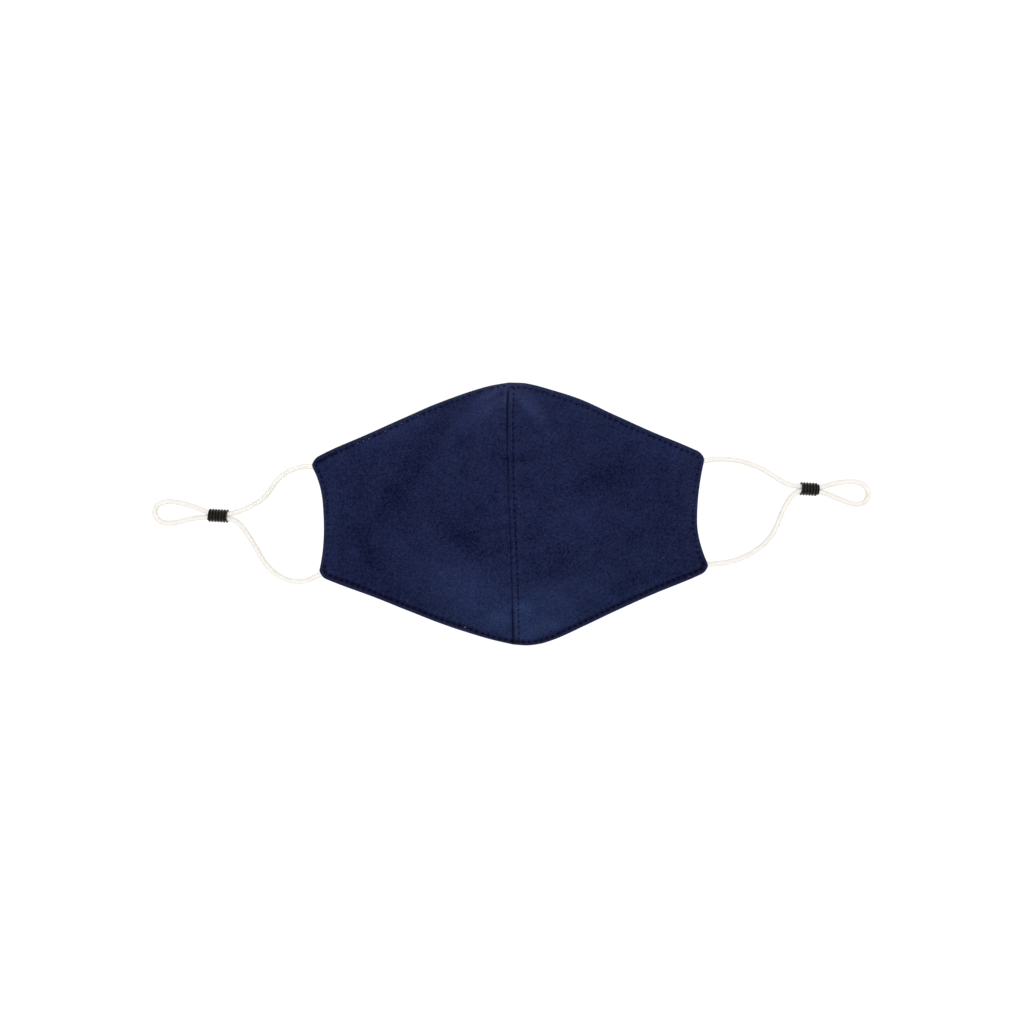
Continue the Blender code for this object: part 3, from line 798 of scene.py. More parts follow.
@dataclass
class Adjuster:
    """A short barrel of black rubber with rounded ribs and one oval bore for both strands.

    Attributes:
        side: which cord it grips.
        x: middle of the barrel.
        y: middle of the barrel.
        turn_deg: direction in which its axis points at the mask.
        length: along the axis.
        radius: over the crests of the ribs.
        spacing: between the middles of the two strands.
        bore: radius of the bore's round ends.
        ribs: number of ribs.
        rib_depth: from a crest to a valley.
        rounding: radius of the round between its outside and its loop end.
        trim: how much its loop end falls short of the full length.
        nib: whether a moulding nib is left at its loop end.
    """

    side: Side
    x: float
    y: float
    turn_deg: float
    length: float = 0.0103
    radius: float = 0.003778
    spacing: float = 0.002578
    bore: float = 0.001250
    ribs: int = 7
    rib_depth: float = 0.00115
    rounding: float = 0.0004
    trim: float = 0.0
    nib: bool = False

    # Sides of a ring, and rings on each rib, on each dished end and in the bore
    SIDES = 64
    RIB_RINGS = 14
    FACE_RINGS = 8
    BORE_RINGS = 12
    # How far the ends stand out past the length, and the middles of the end ribs back from there
    OVERHANG = 0.0001
    END_RIB = 0.0003
    # Radius of the round at the mask's end, the share of a quarter circle that it turns through, the depth
    # of an end's dish, the height of the lip round it, and how deep in the bore starts
    CORNER = 0.0004
    QUARTER = 0.98
    DISH = 0.00042
    LIP = 0.00010
    MOUTH = 0.00075
    # The nib's direction in degrees, its half width in radians, and its height
    NIB_AT = 127
    NIB_WIDTH = 0.26
    NIB_HEIGHT = 0.0005

    @property
    def middle(self) -> Array:
        """X and Y of its middle."""
        return np.array([self.x, self.y])

    @property
    def axis(self) -> Array:
        """Unit vector on the table along its axis, towards the mask."""
        turn = math.radians(self.turn_deg)
        return np.array([math.cos(turn), math.sin(turn)])

    @property
    def to_nose(self) -> Array:
        """Unit vector across its axis, towards the nose side."""
        axis = self.axis
        across = np.array([-axis[1], axis[0]])
        return across if across[1] > 0 else -across

    def profile(self) -> tuple[Array, Array, Array]:
        """The closed line that is turned round the axis: outside, one end, bore and the other end.

        Outside, the radius is the crest's less the depth times a smooth wave, sin squared through the
        smooth step, with the first and last ribs at the ends. At both ends it follows a quarter circle
        down to the mouth, which is dished.

        Returns:
            Distance along the axis, radius outside, and share of the way from the outside to the bore.
        """
        half = self.length / 2 + self.OVERHANG
        outer = np.linspace(-half + self.trim, half, self.ribs * self.RIB_RINGS + 1)
        phase = (outer / (half - self.END_RIB) + 1) * (self.ribs - 1) / 2 * math.pi
        valley = smooth_step(np.sin(phase) ** 2)
        corner = np.where(outer < 0, self.rounding, self.CORNER)
        to_end = np.minimum(outer - outer[0], outer[-1] - outer)
        shoulder = 1 - np.clip(to_end / corner, 0.0, 1.0)
        drop = corner * (1 - np.sqrt(1 - shoulder**2 * self.QUARTER))
        radius = self.radius - self.rib_depth * valley - drop
        share = np.linspace(0.0, 1.0, self.FACE_RINGS + 1)[1:]
        face = half - self.DISH * smooth_step(share) + self.LIP * np.sin(math.pi * share)
        inner = np.linspace(half - self.MOUTH, -half + self.MOUTH, self.BORE_RINGS)
        along = np.concatenate([outer, face, inner, self.trim - face[::-1]])
        rest = np.repeat(radius[[-1, -1, 0]], [len(share), len(inner), len(share)])
        radii = np.concatenate([radius, rest])
        to_bore = np.concatenate([np.zeros(len(outer)), share, np.ones(len(inner)), share[::-1]])
        return along, radii, to_bore

    def bore_radius_at(self, angle: Array) -> Array:
        """Distance from the axis to the bore's wall in a direction, for two half circles joined by straights.

        A ray meets the straight at bore / |sin| where that is before the half circle starts, and
        otherwise the circle at a * |cos| + sqrt(bore squared - (a * sin) squared), a being half the spacing.

        Args:
            angle: of the direction.

        Returns:
            The distances.
        """
        cosine, sine = np.abs(np.cos(angle)), np.abs(np.sin(angle))
        offset = self.spacing / 2
        straight = self.bore / np.maximum(sine, 1e-6)
        round_end = offset * cosine + np.sqrt(np.maximum(self.bore**2 - (offset * sine) ** 2, 0.0))
        return np.where(straight * cosine <= offset, straight, round_end)

    def build(self, material: bpy.types.Material) -> bpy.types.Object:
        """Carry a ring along the closed profile, and draw the nib out of its loop end.

        Args:
            material: the rubber.

        Returns:
            The barrel, which stands for the CAD's adjuster.
        """
        along, radii, to_bore = self.profile()
        angle = np.arange(self.SIDES) / self.SIDES * 2 * math.pi
        reach = radii[:, None] * (1 - to_bore[:, None]) + self.bore_radius_at(angle)[None] * to_bore[:, None]
        crest = np.clip((radii - self.radius + self.rib_depth) / self.rib_depth, 0.0, 1.0) * (to_bore == 0)
        axial = np.repeat(along[:, None], self.SIDES, axis=1)
        if self.nib:
            beside = bell(np.angle(np.exp(1j * (angle - math.radians(self.NIB_AT)))), self.NIB_WIDTH)
            end = bell(along + self.length / 2, self.NIB_HEIGHT) * (to_bore < 0.3)
            axial = axial - self.NIB_HEIGHT * end[:, None] * beside[None]
        across = np.cos(angle)[None] * reach
        up = np.sin(angle)[None] * reach + self.radius
        flat = self.middle + axial[..., None] * self.axis + across[..., None] * self.to_nose
        rings = np.dstack([flat, up])
        turns = np.arange(self.SIDES + 1) / self.SIDES
        shape = loft(rings, True, turns, np.arange(len(along) + 1) / len(along), "round")
        shape.values["crest"] = np.repeat(crest, self.SIDES)
        return shape.to_object(f"{self.side.word}_adjuster_barrel", material)


@dataclass
class EarCord:
    """One braided elastic cord, from the nose corner through its adjuster and loop to the chin corner.

    Attributes:
        side: which ear.
        plan: the mask's outline.
        adjuster: what grips it.
        real_length: of the whole cord; it is not used.
        diameter: across the cord.
        end_gap: how far from the corner the CAD's cord ends.
        hidden: length of each end inside the cloth.
        rise: length over which a strand climbs to its adjuster.
        squeeze: share of its diameter that it keeps in the adjuster.
        swell: length over which it regains its diameter.
        step: between rings.
        sides: of a ring.
        relief: height of the braid.
        strands: of the braid, around the cord.
        braid_pitch: length of the braid's repeat along the cord.
        flattening: share of its diameter that it loses inside the cloth.
        path: its middle line, once it is built.
    """

    side: Side
    plan: MaskPlan
    adjuster: Adjuster
    real_length: float
    diameter: float = 0.0029
    end_gap: float = 0.0007
    hidden: float = 0.0032
    rise: float = 0.0090
    squeeze: float = 0.90
    swell: float = 0.0024
    step: float = 0.00026
    sides: int = 40
    relief: float = 0.00002
    strands: int = 8
    braid_pitch: float = 0.0013
    flattening: float = 0.42
    path: Array = field(default=None, init=False)

    # The stretch inside the cloth over which it is pressed flat: where that starts, and its length
    PRESSED = (0.0010, 0.0020)

    def route(self) -> tuple[Array, list[int]]:
        """Points of the route as the CAD has them, and the numbers of those at the adjuster's mouths.

        Returns:
            The points, and those numbers.
        """
        grip = self.adjuster
        within = np.outer((0.5, 0.3, 0.0, -0.3, -0.5), grip.length * grip.axis)
        to_loop = grip.middle + within + grip.to_nose * grip.spacing / 2
        from_loop = grip.middle + within[::-1] - grip.to_nose * grip.spacing / 2
        start = self.end(True, np.array(NOSE_STRAND[self.side][0]))
        end = self.end(False, np.array(CHIN_STRAND[self.side][-1]))
        stretches = (
            [start, *NOSE_STRAND[self.side]], to_loop, LOOP[self.side], from_loop,
            [*CHIN_STRAND[self.side], end],
        )
        first = np.cumsum([len(stretch) for stretch in stretches])
        return np.concatenate(stretches), [first[0], first[1] - 1, first[2], first[3] - 1]

    def end(self, nose: bool, neighbour: Array) -> Array:
        """Where the CAD's cord ends, just clear of its corner on the line from the next point."""
        corner = self.plan.corner(self.side, nose)
        return corner + unit(neighbour - corner) * self.end_gap

    def centreline(self) -> tuple[Array, Array]:
        """The cord's middle line and the share of its radius at each point.

        Between the route's points the line is a cubic whose slope at a point comes from its two
        neighbours. Its two ends run straight on into the cloth, where they are pressed flat.

        Returns:
            Points in the mask's frame, and shares of the radius.
        """
        points, mouths = self.route()
        reach = arc_lengths(points)
        slopes = np.gradient(points, reach, axis=0)
        knots = reach[[0, *mouths, -1]]
        spans = [
            np.linspace(a, b, round((b - a) / self.step), endpoint=False) for a, b in zip(knots, knots[1:])
        ]
        at = np.concatenate([*spans, knots[-1:]])
        index = np.clip(np.searchsorted(reach, at, side="right") - 1, 0, len(points) - 2)
        width = (reach[index + 1] - reach[index])[:, None]
        u = (at - reach[index])[:, None] / width
        leave, arrive = slopes[index] * width, slopes[index + 1] * width
        line = cubic(u, points[index], points[index + 1], leave, arrive)
        inside = np.arange(1, round(self.hidden / self.step) + 1)[:, None] * self.step
        before = line[0] + unit(line[0] - line[1]) * inside[::-1]
        after = line[-1] + unit(line[-1] - line[-2]) * inside
        line = np.concatenate([before, line, after])
        beyond_mouth = np.linalg.norm(line - self.adjuster.middle, axis=1) - self.adjuster.length / 2
        raised = 1 - smooth_step(beyond_mouth / self.rise)
        heights = self.diameter / 2 + (self.adjuster.radius - self.diameter / 2) * raised
        shares = self.squeeze + (1 - self.squeeze) * smooth_step(beyond_mouth / self.swell)
        sunk = np.concatenate([inside[::-1, 0], np.zeros(len(line) - 2 * len(inside)), inside[:, 0]])
        start, stretch = self.PRESSED
        shares = shares * (1 - self.flattening * smooth_step((sunk - start) / stretch))
        return np.column_stack([line, heights]), shares

    def build(self, material: bpy.types.Material) -> bpy.types.Object:
        """Carry a ring with the braid's relief along the middle line.

        The relief is cos(strands * turn) * cos(length / pitch), in full turns, which gives rows of small
        diamonds that are shifted from row to row, as a braid's strands are.

        Args:
            material: the elastic.

        Returns:
            The cord, which stands for the CAD's.
        """
        line, shares = self.centreline()
        length = arc_lengths(line)
        tangent = unit(np.gradient(line, axis=0))
        across = unit(np.cross((0.0, 0.0, 1.0), tangent))
        up = np.cross(tangent, across)
        angle = np.arange(self.sides) / self.sides * 2 * math.pi
        wave = np.outer(np.cos(length / self.braid_pitch * 2 * math.pi), np.cos(self.strands * angle))
        radius = (self.diameter / 2 - self.relief / 2 + self.relief * wave) * shares[:, None]
        ring = across[:, None] * np.cos(angle)[None, :, None] + up[:, None] * np.sin(angle)[None, :, None]
        rings = line[:, None] + ring * radius[..., None]
        turns = np.arange(self.sides + 1) / self.sides
        cord = loft(rings, False, turns, length, "braid").to_object(f"{self.side.word}_cord", material)
        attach(cord, "root")
        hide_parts(f"{self.side.word}_ear_cord")
        self.path = line
        return cord


class Grain(NamedTuple):
    """A noise of the cotton: its features in a metre, detail and roughness, and its tone and relief."""

    per_metre: float
    detail: float
    roughness: float
    tone: float
    relief: float


@dataclass(frozen=True)
class Cotton:
    """Brushed navy cotton: a fine pebbled weave, a cloudy mottle, lint, and painted shade in pits under the
    stitches.

    Attributes:
        deep: colour of its darkest grains.
        bright: colour of its brightest nap.
        rim: colour of the painted sheen on the rolled edge on the chin side.
        shadow: colour beside the stitches on the chin side.
        pit: colour of the painted shade under the stitches and down in the seam, and of the back-tack's knot.
        lint: colour of the small specks of fluff.
        pitch: of the stitches, in millimetres.
        tone: of the cloth, from its deep to its bright colour, before its grains and patches.
        grains: the weave's pebbles, their fine grain, and the cloudy mottle.
        rib_pitch: of the weave's diagonal ribs.
        rib_relief: of those ribs, as a share of the relief.
        relief: height of the whole weave.
        darkest: most that the painted shade of stitches and seam, and the knot, darken the cloth.
    """

    deep: Colour = (0.0010, 0.0020, 0.0125)
    bright: Colour = (0.0217, 0.0400, 0.0925)
    rim: Colour = (0.0150, 0.0165, 0.0460)
    shadow: Colour = (0.0060, 0.0080, 0.0190)
    pit: Colour = (0.0006, 0.0009, 0.0024)
    lint: Colour = (0.080, 0.090, 0.145)
    pitch: float = 3.43
    tone: float = 0.345
    grains: tuple[Grain, ...] = table(
        Grain, (620.0, 3.0, 0.62, 0.76, 0.6), (1600.0, 2.0, 0.65, 1.38, 0.5), (110.0, 3.0, 0.6, 0.20, 0.6)
    )
    rib_pitch: float = 0.00085
    rib_relief: float = 0.08
    relief: float = 0.00035
    darkest: float = 0.95

    # Grains in a metre, tint and share of the tint for the nap's slight changes of hue
    TINTS = ((1900.0, (1.70, 1.0, 1.0), 0.70), (1700.0, (1.0, 1.0, 1.75), 0.70),
             (170.0, (1.20, 1.0, 1.0), 0.40))
    # Where the ear edges, the chin side, the greener chin cloth, and the warmer nose end and right ear edge
    # set in and are full: X or its distance from the middle, and Y or its distance from the middle
    EAR_X, EAR_Y = (0.096, 0.104), (0.031, 0.024)
    CHIN_Y = (0.004, -0.012)
    TEAL_X, TEAL_Y, TEAL = (-0.075, -0.030), (-0.018, -0.055), (0.94, 1.06, 1.0)
    WARM_X, WARM_Y, WARM = (0.018, 0.008), (0.058, 0.064), (1.03, 0.965, 0.90)
    WARM_EAR_X = (0.094, 0.102)
    # Half lengths of the painted shade in the pits under the stitches of the hem and of the seam's row, in
    # millimetres
    HEM_PIT, SEAM_PIT = 0.75, 0.50
    # How much painted shade darkens the groove along the hem, how much more on the chin side, and the pits in
    # it
    HEM_DARK = (0.04, 0.10, 0.90)
    # How much painted shade darkens the groove of the seam's row and its pits
    SEAM_DARK = (0.04, 0.85)

    def stitched(
        self, graph: Graph, name: str, half_length: float, wide: Number, short: Number
    ) -> tuple[Wire, Wire, Wire]:
        """Masks of painted shade along a row of stitches.

        Args:
            graph: the material.
            name: map whose coordinates are stitches along the row and millimetres away from it.
            half_length: of a pit, in millimetres.
            wide: from 0 to 1, where the pits are wider.
            short: from 0 to 1, where the pits are shorter.

        Returns:
            The groove, the pits in it, and the distance from the row.
        """
        count, away = graph.uv(name)
        away = away * (1 - wide * 0.25)
        along = graph.math("PINGPONG", count + 0.5, 0.5) * (short * (0.8 * self.pitch) + self.pitch)
        within = graph.ramp(along, half_length + 0.30, half_length - 0.20)
        return graph.ramp(away, 0.80, 0.20), within * graph.ramp(away, 0.66, 0.26), away

    def material(self, name: str, seam_row: bool) -> bpy.types.Material:
        """Make the finish.

        Args:
            name: of the material.
            seam_row: whether a row of stitches runs beside the centre seam on this panel.

        Returns:
            The material. It reads the maps hem and seam_row, and the values crest, fade, edge, shade,
            bite and seam_bite.
        """
        graph = Graph(name)
        place = graph.place()
        x, y = graph.parts(place)
        out, up = graph.math("ABSOLUTE", x), graph.math("ABSOLUTE", y)
        ear = graph.ramp(out, *self.EAR_X) * graph.ramp(up, *self.EAR_Y)
        chin_side = graph.ramp(y, *self.CHIN_Y) * (1 - ear)
        from_edge = graph.value("edge")
        groove, pits, from_row = self.stitched(graph, "hem", self.HEM_PIT, chin_side, ear)
        tone, height = self.tone, graph.wave(x + y, self.rib_pitch) * self.rib_relief
        for grain in self.grains:
            noise = graph.noise(place, grain.per_metre, grain.detail, grain.roughness)
            tone = tone + (noise - 0.5) * grain.tone
            height = height + noise * grain.relief
        # Painted highlight on raised places, then the patches of painted light and shade
        tone = tone + graph.value("crest") * 0.08 + graph.value("fade")
        # Painted highlight on the rolled edge except on the chin side, and painted shade beside the hem's
        # stitches, most on the chin side
        tone = tone + graph.ramp(from_edge, 1.8, 0.8) * (0.07 - chin_side * 0.07)
        tone = tone - graph.ramp(from_row, 1.5, 0.5) * (chin_side * 0.10 + 0.02)
        colour = graph.mix(tone, self.deep, self.bright)
        # Painted sheen on the chin side's rolled edge, and painted shadow beside its stitches
        colour = graph.mix(graph.ramp(from_edge, 1.9, 1.3) * chin_side * 0.55, colour, self.rim)
        colour = graph.mix(graph.ramp(from_row, 1.6, 0.5) * chin_side * 0.50, colour, self.shadow)
        for per_metre, tint, share in self.TINTS:
            patchy = graph.ramp(graph.noise(place, per_metre, 2.0, 0.7), 0.32, 0.68)
            colour = graph.mix(patchy * share, colour, tint, "MULTIPLY")
        teal = graph.ramp(y, *self.TEAL_Y) * graph.ramp(x, *self.TEAL_X)
        colour = graph.mix(teal, colour, self.TEAL, "MULTIPLY")
        warm = graph.ramp(y, *self.WARM_Y) * graph.ramp(out, *self.WARM_X) + graph.ramp(x, *self.WARM_EAR_X)
        colour = graph.mix(warm, colour, self.WARM, "MULTIPLY")
        fluff = graph.ramp(graph.noise(place, 330.0, 2.0, 0.7), 0.715, 0.77)
        colour = graph.mix(fluff * 0.35, colour, self.lint)
        # Painted shade in the hem's groove and pits, scaled by each stitch's bite, then the seam's painted
        # shade and the knot
        in_groove, on_chin, in_pits = self.HEM_DARK
        dark = (groove * (chin_side * on_chin + in_groove) + pits * in_pits) * graph.value("bite")
        dark = dark + graph.value("shade")
        if seam_row:
            # Painted shade in the groove and pits of the seam's row
            in_groove, in_pits = self.SEAM_DARK
            groove, pits, _ = self.stitched(graph, "seam_row", self.SEAM_PIT, 0.0, 0.0)
            dark = dark + (groove * in_groove + pits * in_pits) * graph.value("seam_bite")
        colour = graph.mix(graph.math("MINIMUM", dark, self.darkest), colour, self.pit)
        normal = graph.bump(height, self.relief, 0.9)
        graph.surface(colour, 0.94, normal, Specular_IOR_Level=0.03, Sheen_Weight=1.0, Sheen_Roughness=0.45,
                      Sheen_Tint=(0.030, 0.042, 0.110, 1.0))
        return graph.material


@dataclass(frozen=True)
class Thread:
    """Navy sewing thread with a twist, darkened by painted shade where it sinks in, and a few stitches that
    glint.

    Attributes:
        dark: colour of the thread with the painted shade of the groove that it sinks into.
        light: colour where its twist catches the light.
        slack: colour of the stitches that hardly sink into the nap.
        glint: colour of the few bright stitches.
        relief: height of the twist.
    """

    dark: Colour = (0.0010, 0.0014, 0.0040)
    light: Colour = (0.0030, 0.0040, 0.0110)
    slack: Colour = (0.0110, 0.0155, 0.0480)
    glint: Colour = (0.20, 0.22, 0.25)
    relief: float = 0.00006

    def material(self, name: str) -> bpy.types.Material:
        """Make the finish. It reads the values glint and bite and the map twist.

        Args:
            name: of the material.

        Returns:
            The material.
        """
        graph = Graph(name)
        around, along = graph.uv("twist")
        # Painted highlight along the twist, painted shade where a stitch bites into the nap, and painted
        # glints
        twist = graph.wave(around + along * 3.0) * 0.5 + 0.5
        colour = graph.mix(twist, self.dark, self.light)
        colour = graph.mix(graph.value("bite"), self.slack, colour)
        colour = graph.mix(graph.value("glint"), colour, self.glint)
        graph.surface(colour, 0.85, graph.bump(twist, self.relief), Specular_IOR_Level=0.05)
        return graph.material


class Crease(NamedTuple):
    """A small fold in millimetres: its two ends, its width and its height, negative for a valley."""

    from_x: float
    from_y: float
    to_x: float
    to_y: float
    width: float
    height: float


CREASES: tuple[Crease, ...] = table(
    Crease,
    (-2, 73, -32.4, 46.8, 3, 0.35), (8, 72, 23.6, 43, 2.8, 0.32), (-12, 40.8, -4, 22.9, 2.8, -0.14),
    (0, 29.5, 7.2, 29.4, 2.2, -0.25), (5, -47, 10, -55, 3, 0.3), (-4.5, -53, -8.5, -60, 3, 0.25),
    (-1, -55, -1, -64, 2, -0.25),
)


class PaintedLightPatch(NamedTuple):
    """A soft-edged patch of painted light where its tone is positive, and of painted shade where it is
    negative.

    Its middle, its half length and half width are in millimetres, its direction in degrees, and its
    tone is how far it moves the cloth from its deep to its bright colour.
    """

    x: float
    y: float
    length: float
    width: float
    direction: float
    tone: float


# Patches of painted light and shade, standing in for how the light falls on the cloth's slopes
PAINTED_LIGHT_PATCHES: tuple[PaintedLightPatch, ...] = table(
    PaintedLightPatch,
    (1, 66, 22, 10, 0, 0.06), (-7, 69.2, 9.3, 2.2, 23.4, 0.42), (4, 68.5, 5, 5, 0, 0.12),
    (-3.4, 67.7, 2.2, 1.8, 60, -0.22), (-0.3, 63.5, 6.5, 1.6, 90, 0.5), (9.2, 71, 3.2, 2.6, 0, 0.14),
    (12, 58, 9.5, 2.8, -50, 0.24), (-13, 57.5, 17, 4.5, 37, 0.26), (16, 56, 16, 3.5, -61, 0.06),
    (-62, 51, 44, 5, 27, 0.08), (62, 51, 44, 5, -27, 0.06), (99, 33, 12, 9, -20, 0.12),
    (-103, 8, 7, 24, 0, 0.07), (104, 8, 7, 16, 0, 0.07), (-60, 20, 38, 7, 56, -0.13),
    (-60, 4, 12, 7, 40, -0.07), (-86, -12, 11, 6, -40, -0.1), (-75, -25, 9, 6, -40, -0.15),
    (-22, -14, 12, 8, -35, -0.15), (-24, 0, 24, 14, 0, -0.06), (-5, 33, 8, 4, -70, -0.1),
    (-11.5, 20, 16, 2.6, 90, 0.07), (6, 29.5, 7, 2.5, 0, -0.12), (6.5, -11, 7, 5, 0, -0.09),
    (-26, -39, 20, 12, -20, 0.2), (-60, -45, 32, 5, -24, -0.09), (68, -40, 24, 5, 26, -0.08),
    (-60, 48, 14, 5, 25, 0.12), (-103, -32, 5, 4, 0, 0.12), (18, -62, 12, 5, 8, 0.08),
    (7, -70, 10, 3, 0, 0.14), (24, -30, 13, 10, 0, -0.12), (88, 10, 16, 14, 0, -0.03),
    (-2, -58, 24, 10, 0, 0.16), (16, -64, 16, 5, 8, 0.14), (6, -51, 4.5, 3, 0, 0.22),
    (-9, -57, 4, 3.5, 0, 0.12), (54, 20, 17, 9, 10, -0.15), (62, -16, 18, 7, 10, -0.07),
    (40, -5, 18, 12, 0, 0.05), (24, -46, 22, 11, 15, 0.14), (-105.6, 32.8, 5, 0.7, 24, -0.25),
)


@dataclass
class ClothPanel:
    """One cloth half: two layers with a rolled and stitched hem, meeting the other half at the seam.

    Attributes:
        side: which half.
        plan: the mask's outline.
        ridge: height of the hollow under the seam.
        thickness: of the cloth.
        ear_margin: band along the ear edge that lies flat.
        edge_lift: most that an edge stands clear of the table.
        rim: radius of the rolled edge.
        ear_hem: from the ear edge to its stitches.
        seam_row: from the seam to its stitches.
        pitch: of the stitches.
        cord_bulge: how much higher the cloth stands over a sewn-in cord.
        cell: size of the mesh's squares away from the edges.
        flat_area: of the cut; it is not used.
        flat_size: width and length of the cut; it is not used.
        outer: grid of the outer side, once it is built.
        inner: grid of the underside, once it is built.
    """

    side: Side
    plan: MaskPlan
    flat_area: float
    flat_size: tuple[float, float] = (0.1250, 0.1520)
    ridge: float = 0.0300
    thickness: float = 0.0018
    ear_margin: float = 0.0110
    edge_lift: float = 0.0026
    rim: float = 0.0009
    ear_hem: float = 0.0027
    seam_row: float = 0.0032
    pitch: float = 0.00343
    cord_bulge: float = 0.0013
    cell: float = 0.00085
    outer: Array = field(default=None, init=False)
    inner: Array = field(default=None, init=False)

    # Steps of the mesh beside an edge, in millimetres, and the number of steps round a corner
    EDGE_STEPS = (0.0, 0.05, 0.18, 0.38, 0.62, 0.9, 1.2, 1.55, 1.9, 2.2, 2.5, 2.8, 3.1, 3.5, 4.0, 4.6)
    CORNER_STEPS = 16
    # How far from the free edges the rim and the hem are worked out, and the share of a slanted edge's
    # distance along Y that it is at least away
    REACH = 0.012
    SLANT = 0.78
    # Step of the hem's line, and how close to the seam it may come
    LINE_STEP, SEAM_CLEAR = 0.0004, 0.0004
    # How the hem wanders: size, turns in a metre in radians, and phase
    WANDER = ((0.00012, 190, 0.0), (0.00009, 437, 1.0))
    # X and Y of the knot at the end of the back-tack, its radius, and how dark it is
    KNOT = (-0.1000, 0.0353, 0.0011, 0.85)
    # Share of a fold's depth that is left after pressing, and the heights, as shares of the ridge, and
    # the share across over which folds and creases grow
    FOLD_LEFT, FOLD_GROWS, CREASE_GROWS, FOLD_SETS_IN = 0.30, 0.15, 0.10, 0.10
    # Least bites: on the nose and the chin edge, and on the left and the right ear edge
    LEAST_NOSE, LEAST_CHIN = 0.68, 0.92
    LEAST_EAR = {Side.LEFT: 0.10, Side.RIGHT: 0.45}
    # Where the ear edges' stitches begin to vary, and over what length, in X and in Y
    EAR_FROM, EAR_OVER = (0.094, 0.030), (0.010, 0.006)
    # The waves of worn cloth: number in 2.4 metres, direction, phase, and height in millimetres
    WAVES = ((91, 0.4, 0.3, 0.16), (73, 1.3, 1.1, 0.18), (118, 2.2, 2.0, 0.12), (163, 0.9, 4.0, 0.08),
             (140, 2.8, 5.2, 0.09), (211, 1.8, 0.7, 0.05))
    # Half width of the bulge over a cord's end, where it ends inside the panel, and over what length
    BULGE_WIDTH, BULGE_END, BULGE_FADE = 0.0021, 0.0085, 0.0055
    # The small relief has its heights in millimetres and its widths in metres. The hem's groove: its depth,
    # how much deeper it is under a stitch, its half width, and the share that ear edges lack
    GROOVE, GROOVE_HELD, GROOVE_WIDTH, EAR_EASED = 0.10, 0.12, 0.00055, 0.7
    # The roll outside the hem's stitches: its height, how far in it lies, and its half width
    ROLL, ROLL_AT, ROLL_WIDTH = 0.10, 0.0013, 0.0008
    # The puckers along the hem: their height, and how far they reach
    PUCKER, PUCKER_REACH = 0.09, 0.0030
    # The seam's valley and the cloth that it draws in: their depths and reaches, and the swells' repeat
    VALLEY, VALLEY_REACH, DRAWN, DRAWN_REACH, SWELL_REPEAT = 0.45, 0.00050, 0.30, 0.0055, 0.0117
    # The strip between the seam and its stitches: its height, how far short of them it ends, and its fall
    STRIP, STRIP_SHORT, STRIP_FALL = 0.36, 0.0001, 0.0006
    # The groove of those stitches: its depth, how much deeper it is under a stitch, and its half width
    SEAM_GROOVE, SEAM_HELD, SEAM_WIDTH = 0.14, 0.14, 0.0005
    # Steepest slope, as surface to table, at which the cloth keeps its thickness across the slope
    STEEPEST = 1.6
    # Middle and half length of the seam's row of stitches, in millimetres
    SEAM_ROW_AT, SEAM_ROW_HALF = 0.8, 71.5

    def stations_across(self) -> Array:
        """Fine steps beside the seam, even steps, then steps that follow the corner's quarter turn.

        Returns:
            Shares of the way across.
        """
        half = self.plan.width / 2
        fine = np.array(self.EDGE_STEPS) * MM / half
        start = self.plan.corner_start
        even = np.linspace(fine[-1], start, round((start - fine[-1]) * half / self.cell), endpoint=False)[1:]
        turn = np.sin(np.linspace(0.0, math.pi / 2, self.CORNER_STEPS + 1))
        return np.concatenate([fine, even, start + (1 - start) * turn])

    def stations_along(self) -> Array:
        """Fine steps beside the chin and nose edges, and even steps between.

        Returns:
            Shares of the way along.
        """
        fine = np.array(self.EDGE_STEPS) * MM / self.plan.length
        spans = round(self.plan.length / self.cell * (1 - 2 * fine[-1]))
        even = np.linspace(fine[-1], 1 - fine[-1], spans + 1)
        return np.concatenate([fine[:-1], even, 1 - fine[-2::-1]])

    def outline(self) -> Array:
        """The free edges as one line: nose edge from the seam, ear edge, and chin edge to the seam.

        Returns:
            Points of the line.
        """
        across, along = self.stations_across(), self.stations_along()
        nose = np.column_stack(self.plan.place(self.side, across, np.ones_like(across)))
        ear = np.column_stack(self.plan.place(self.side, np.ones_like(along), along[::-1]))
        chin = np.column_stack(self.plan.place(self.side, across[::-1], np.zeros_like(across)))
        return np.concatenate([nose, ear[1:-1], chin])

    def stitch_line(self) -> Array:
        """The hem's stitches: the outline, moved inwards along its normals by a hem that wanders.

        Returns:
            Points of the line.
        """
        line = self.outline()
        at = arc_lengths(line)
        even = np.arange(0.0, at[-1], self.LINE_STEP)
        stations = np.array(HEM_ROWS[self.side])
        count = len(self.stations_across())
        nose = np.interp(line[:count, 0] / MM, stations[:, 0], stations[:, 1]) * MM
        chin = np.interp(line[-count:, 0] / MM, stations[:, 0], stations[:, 2]) * MM
        ear = np.full(len(line) - 2 * count, self.ear_hem)
        hem = smoothed(np.interp(even, at, np.concatenate([nose, ear, chin])), 19)
        hem += sum(size * np.sin(even * turns + phase) for size, turns, phase in self.WANDER)
        line = columns_at(even, at, line)
        tangent = unit(np.gradient(line, axis=0))
        tangent = unit(np.column_stack([smoothed(column, 9) for column in tangent.T]))
        inwards = np.column_stack([tangent[:, 1], -tangent[:, 0]]) * self.side.value
        moved = line + inwards * hem[:, None]
        seam = self.plan.seam_line(0.5 + moved[:, 1] / self.plan.length)
        return moved[(moved[:, 0] - seam) * self.side.value > self.SEAM_CLEAR]

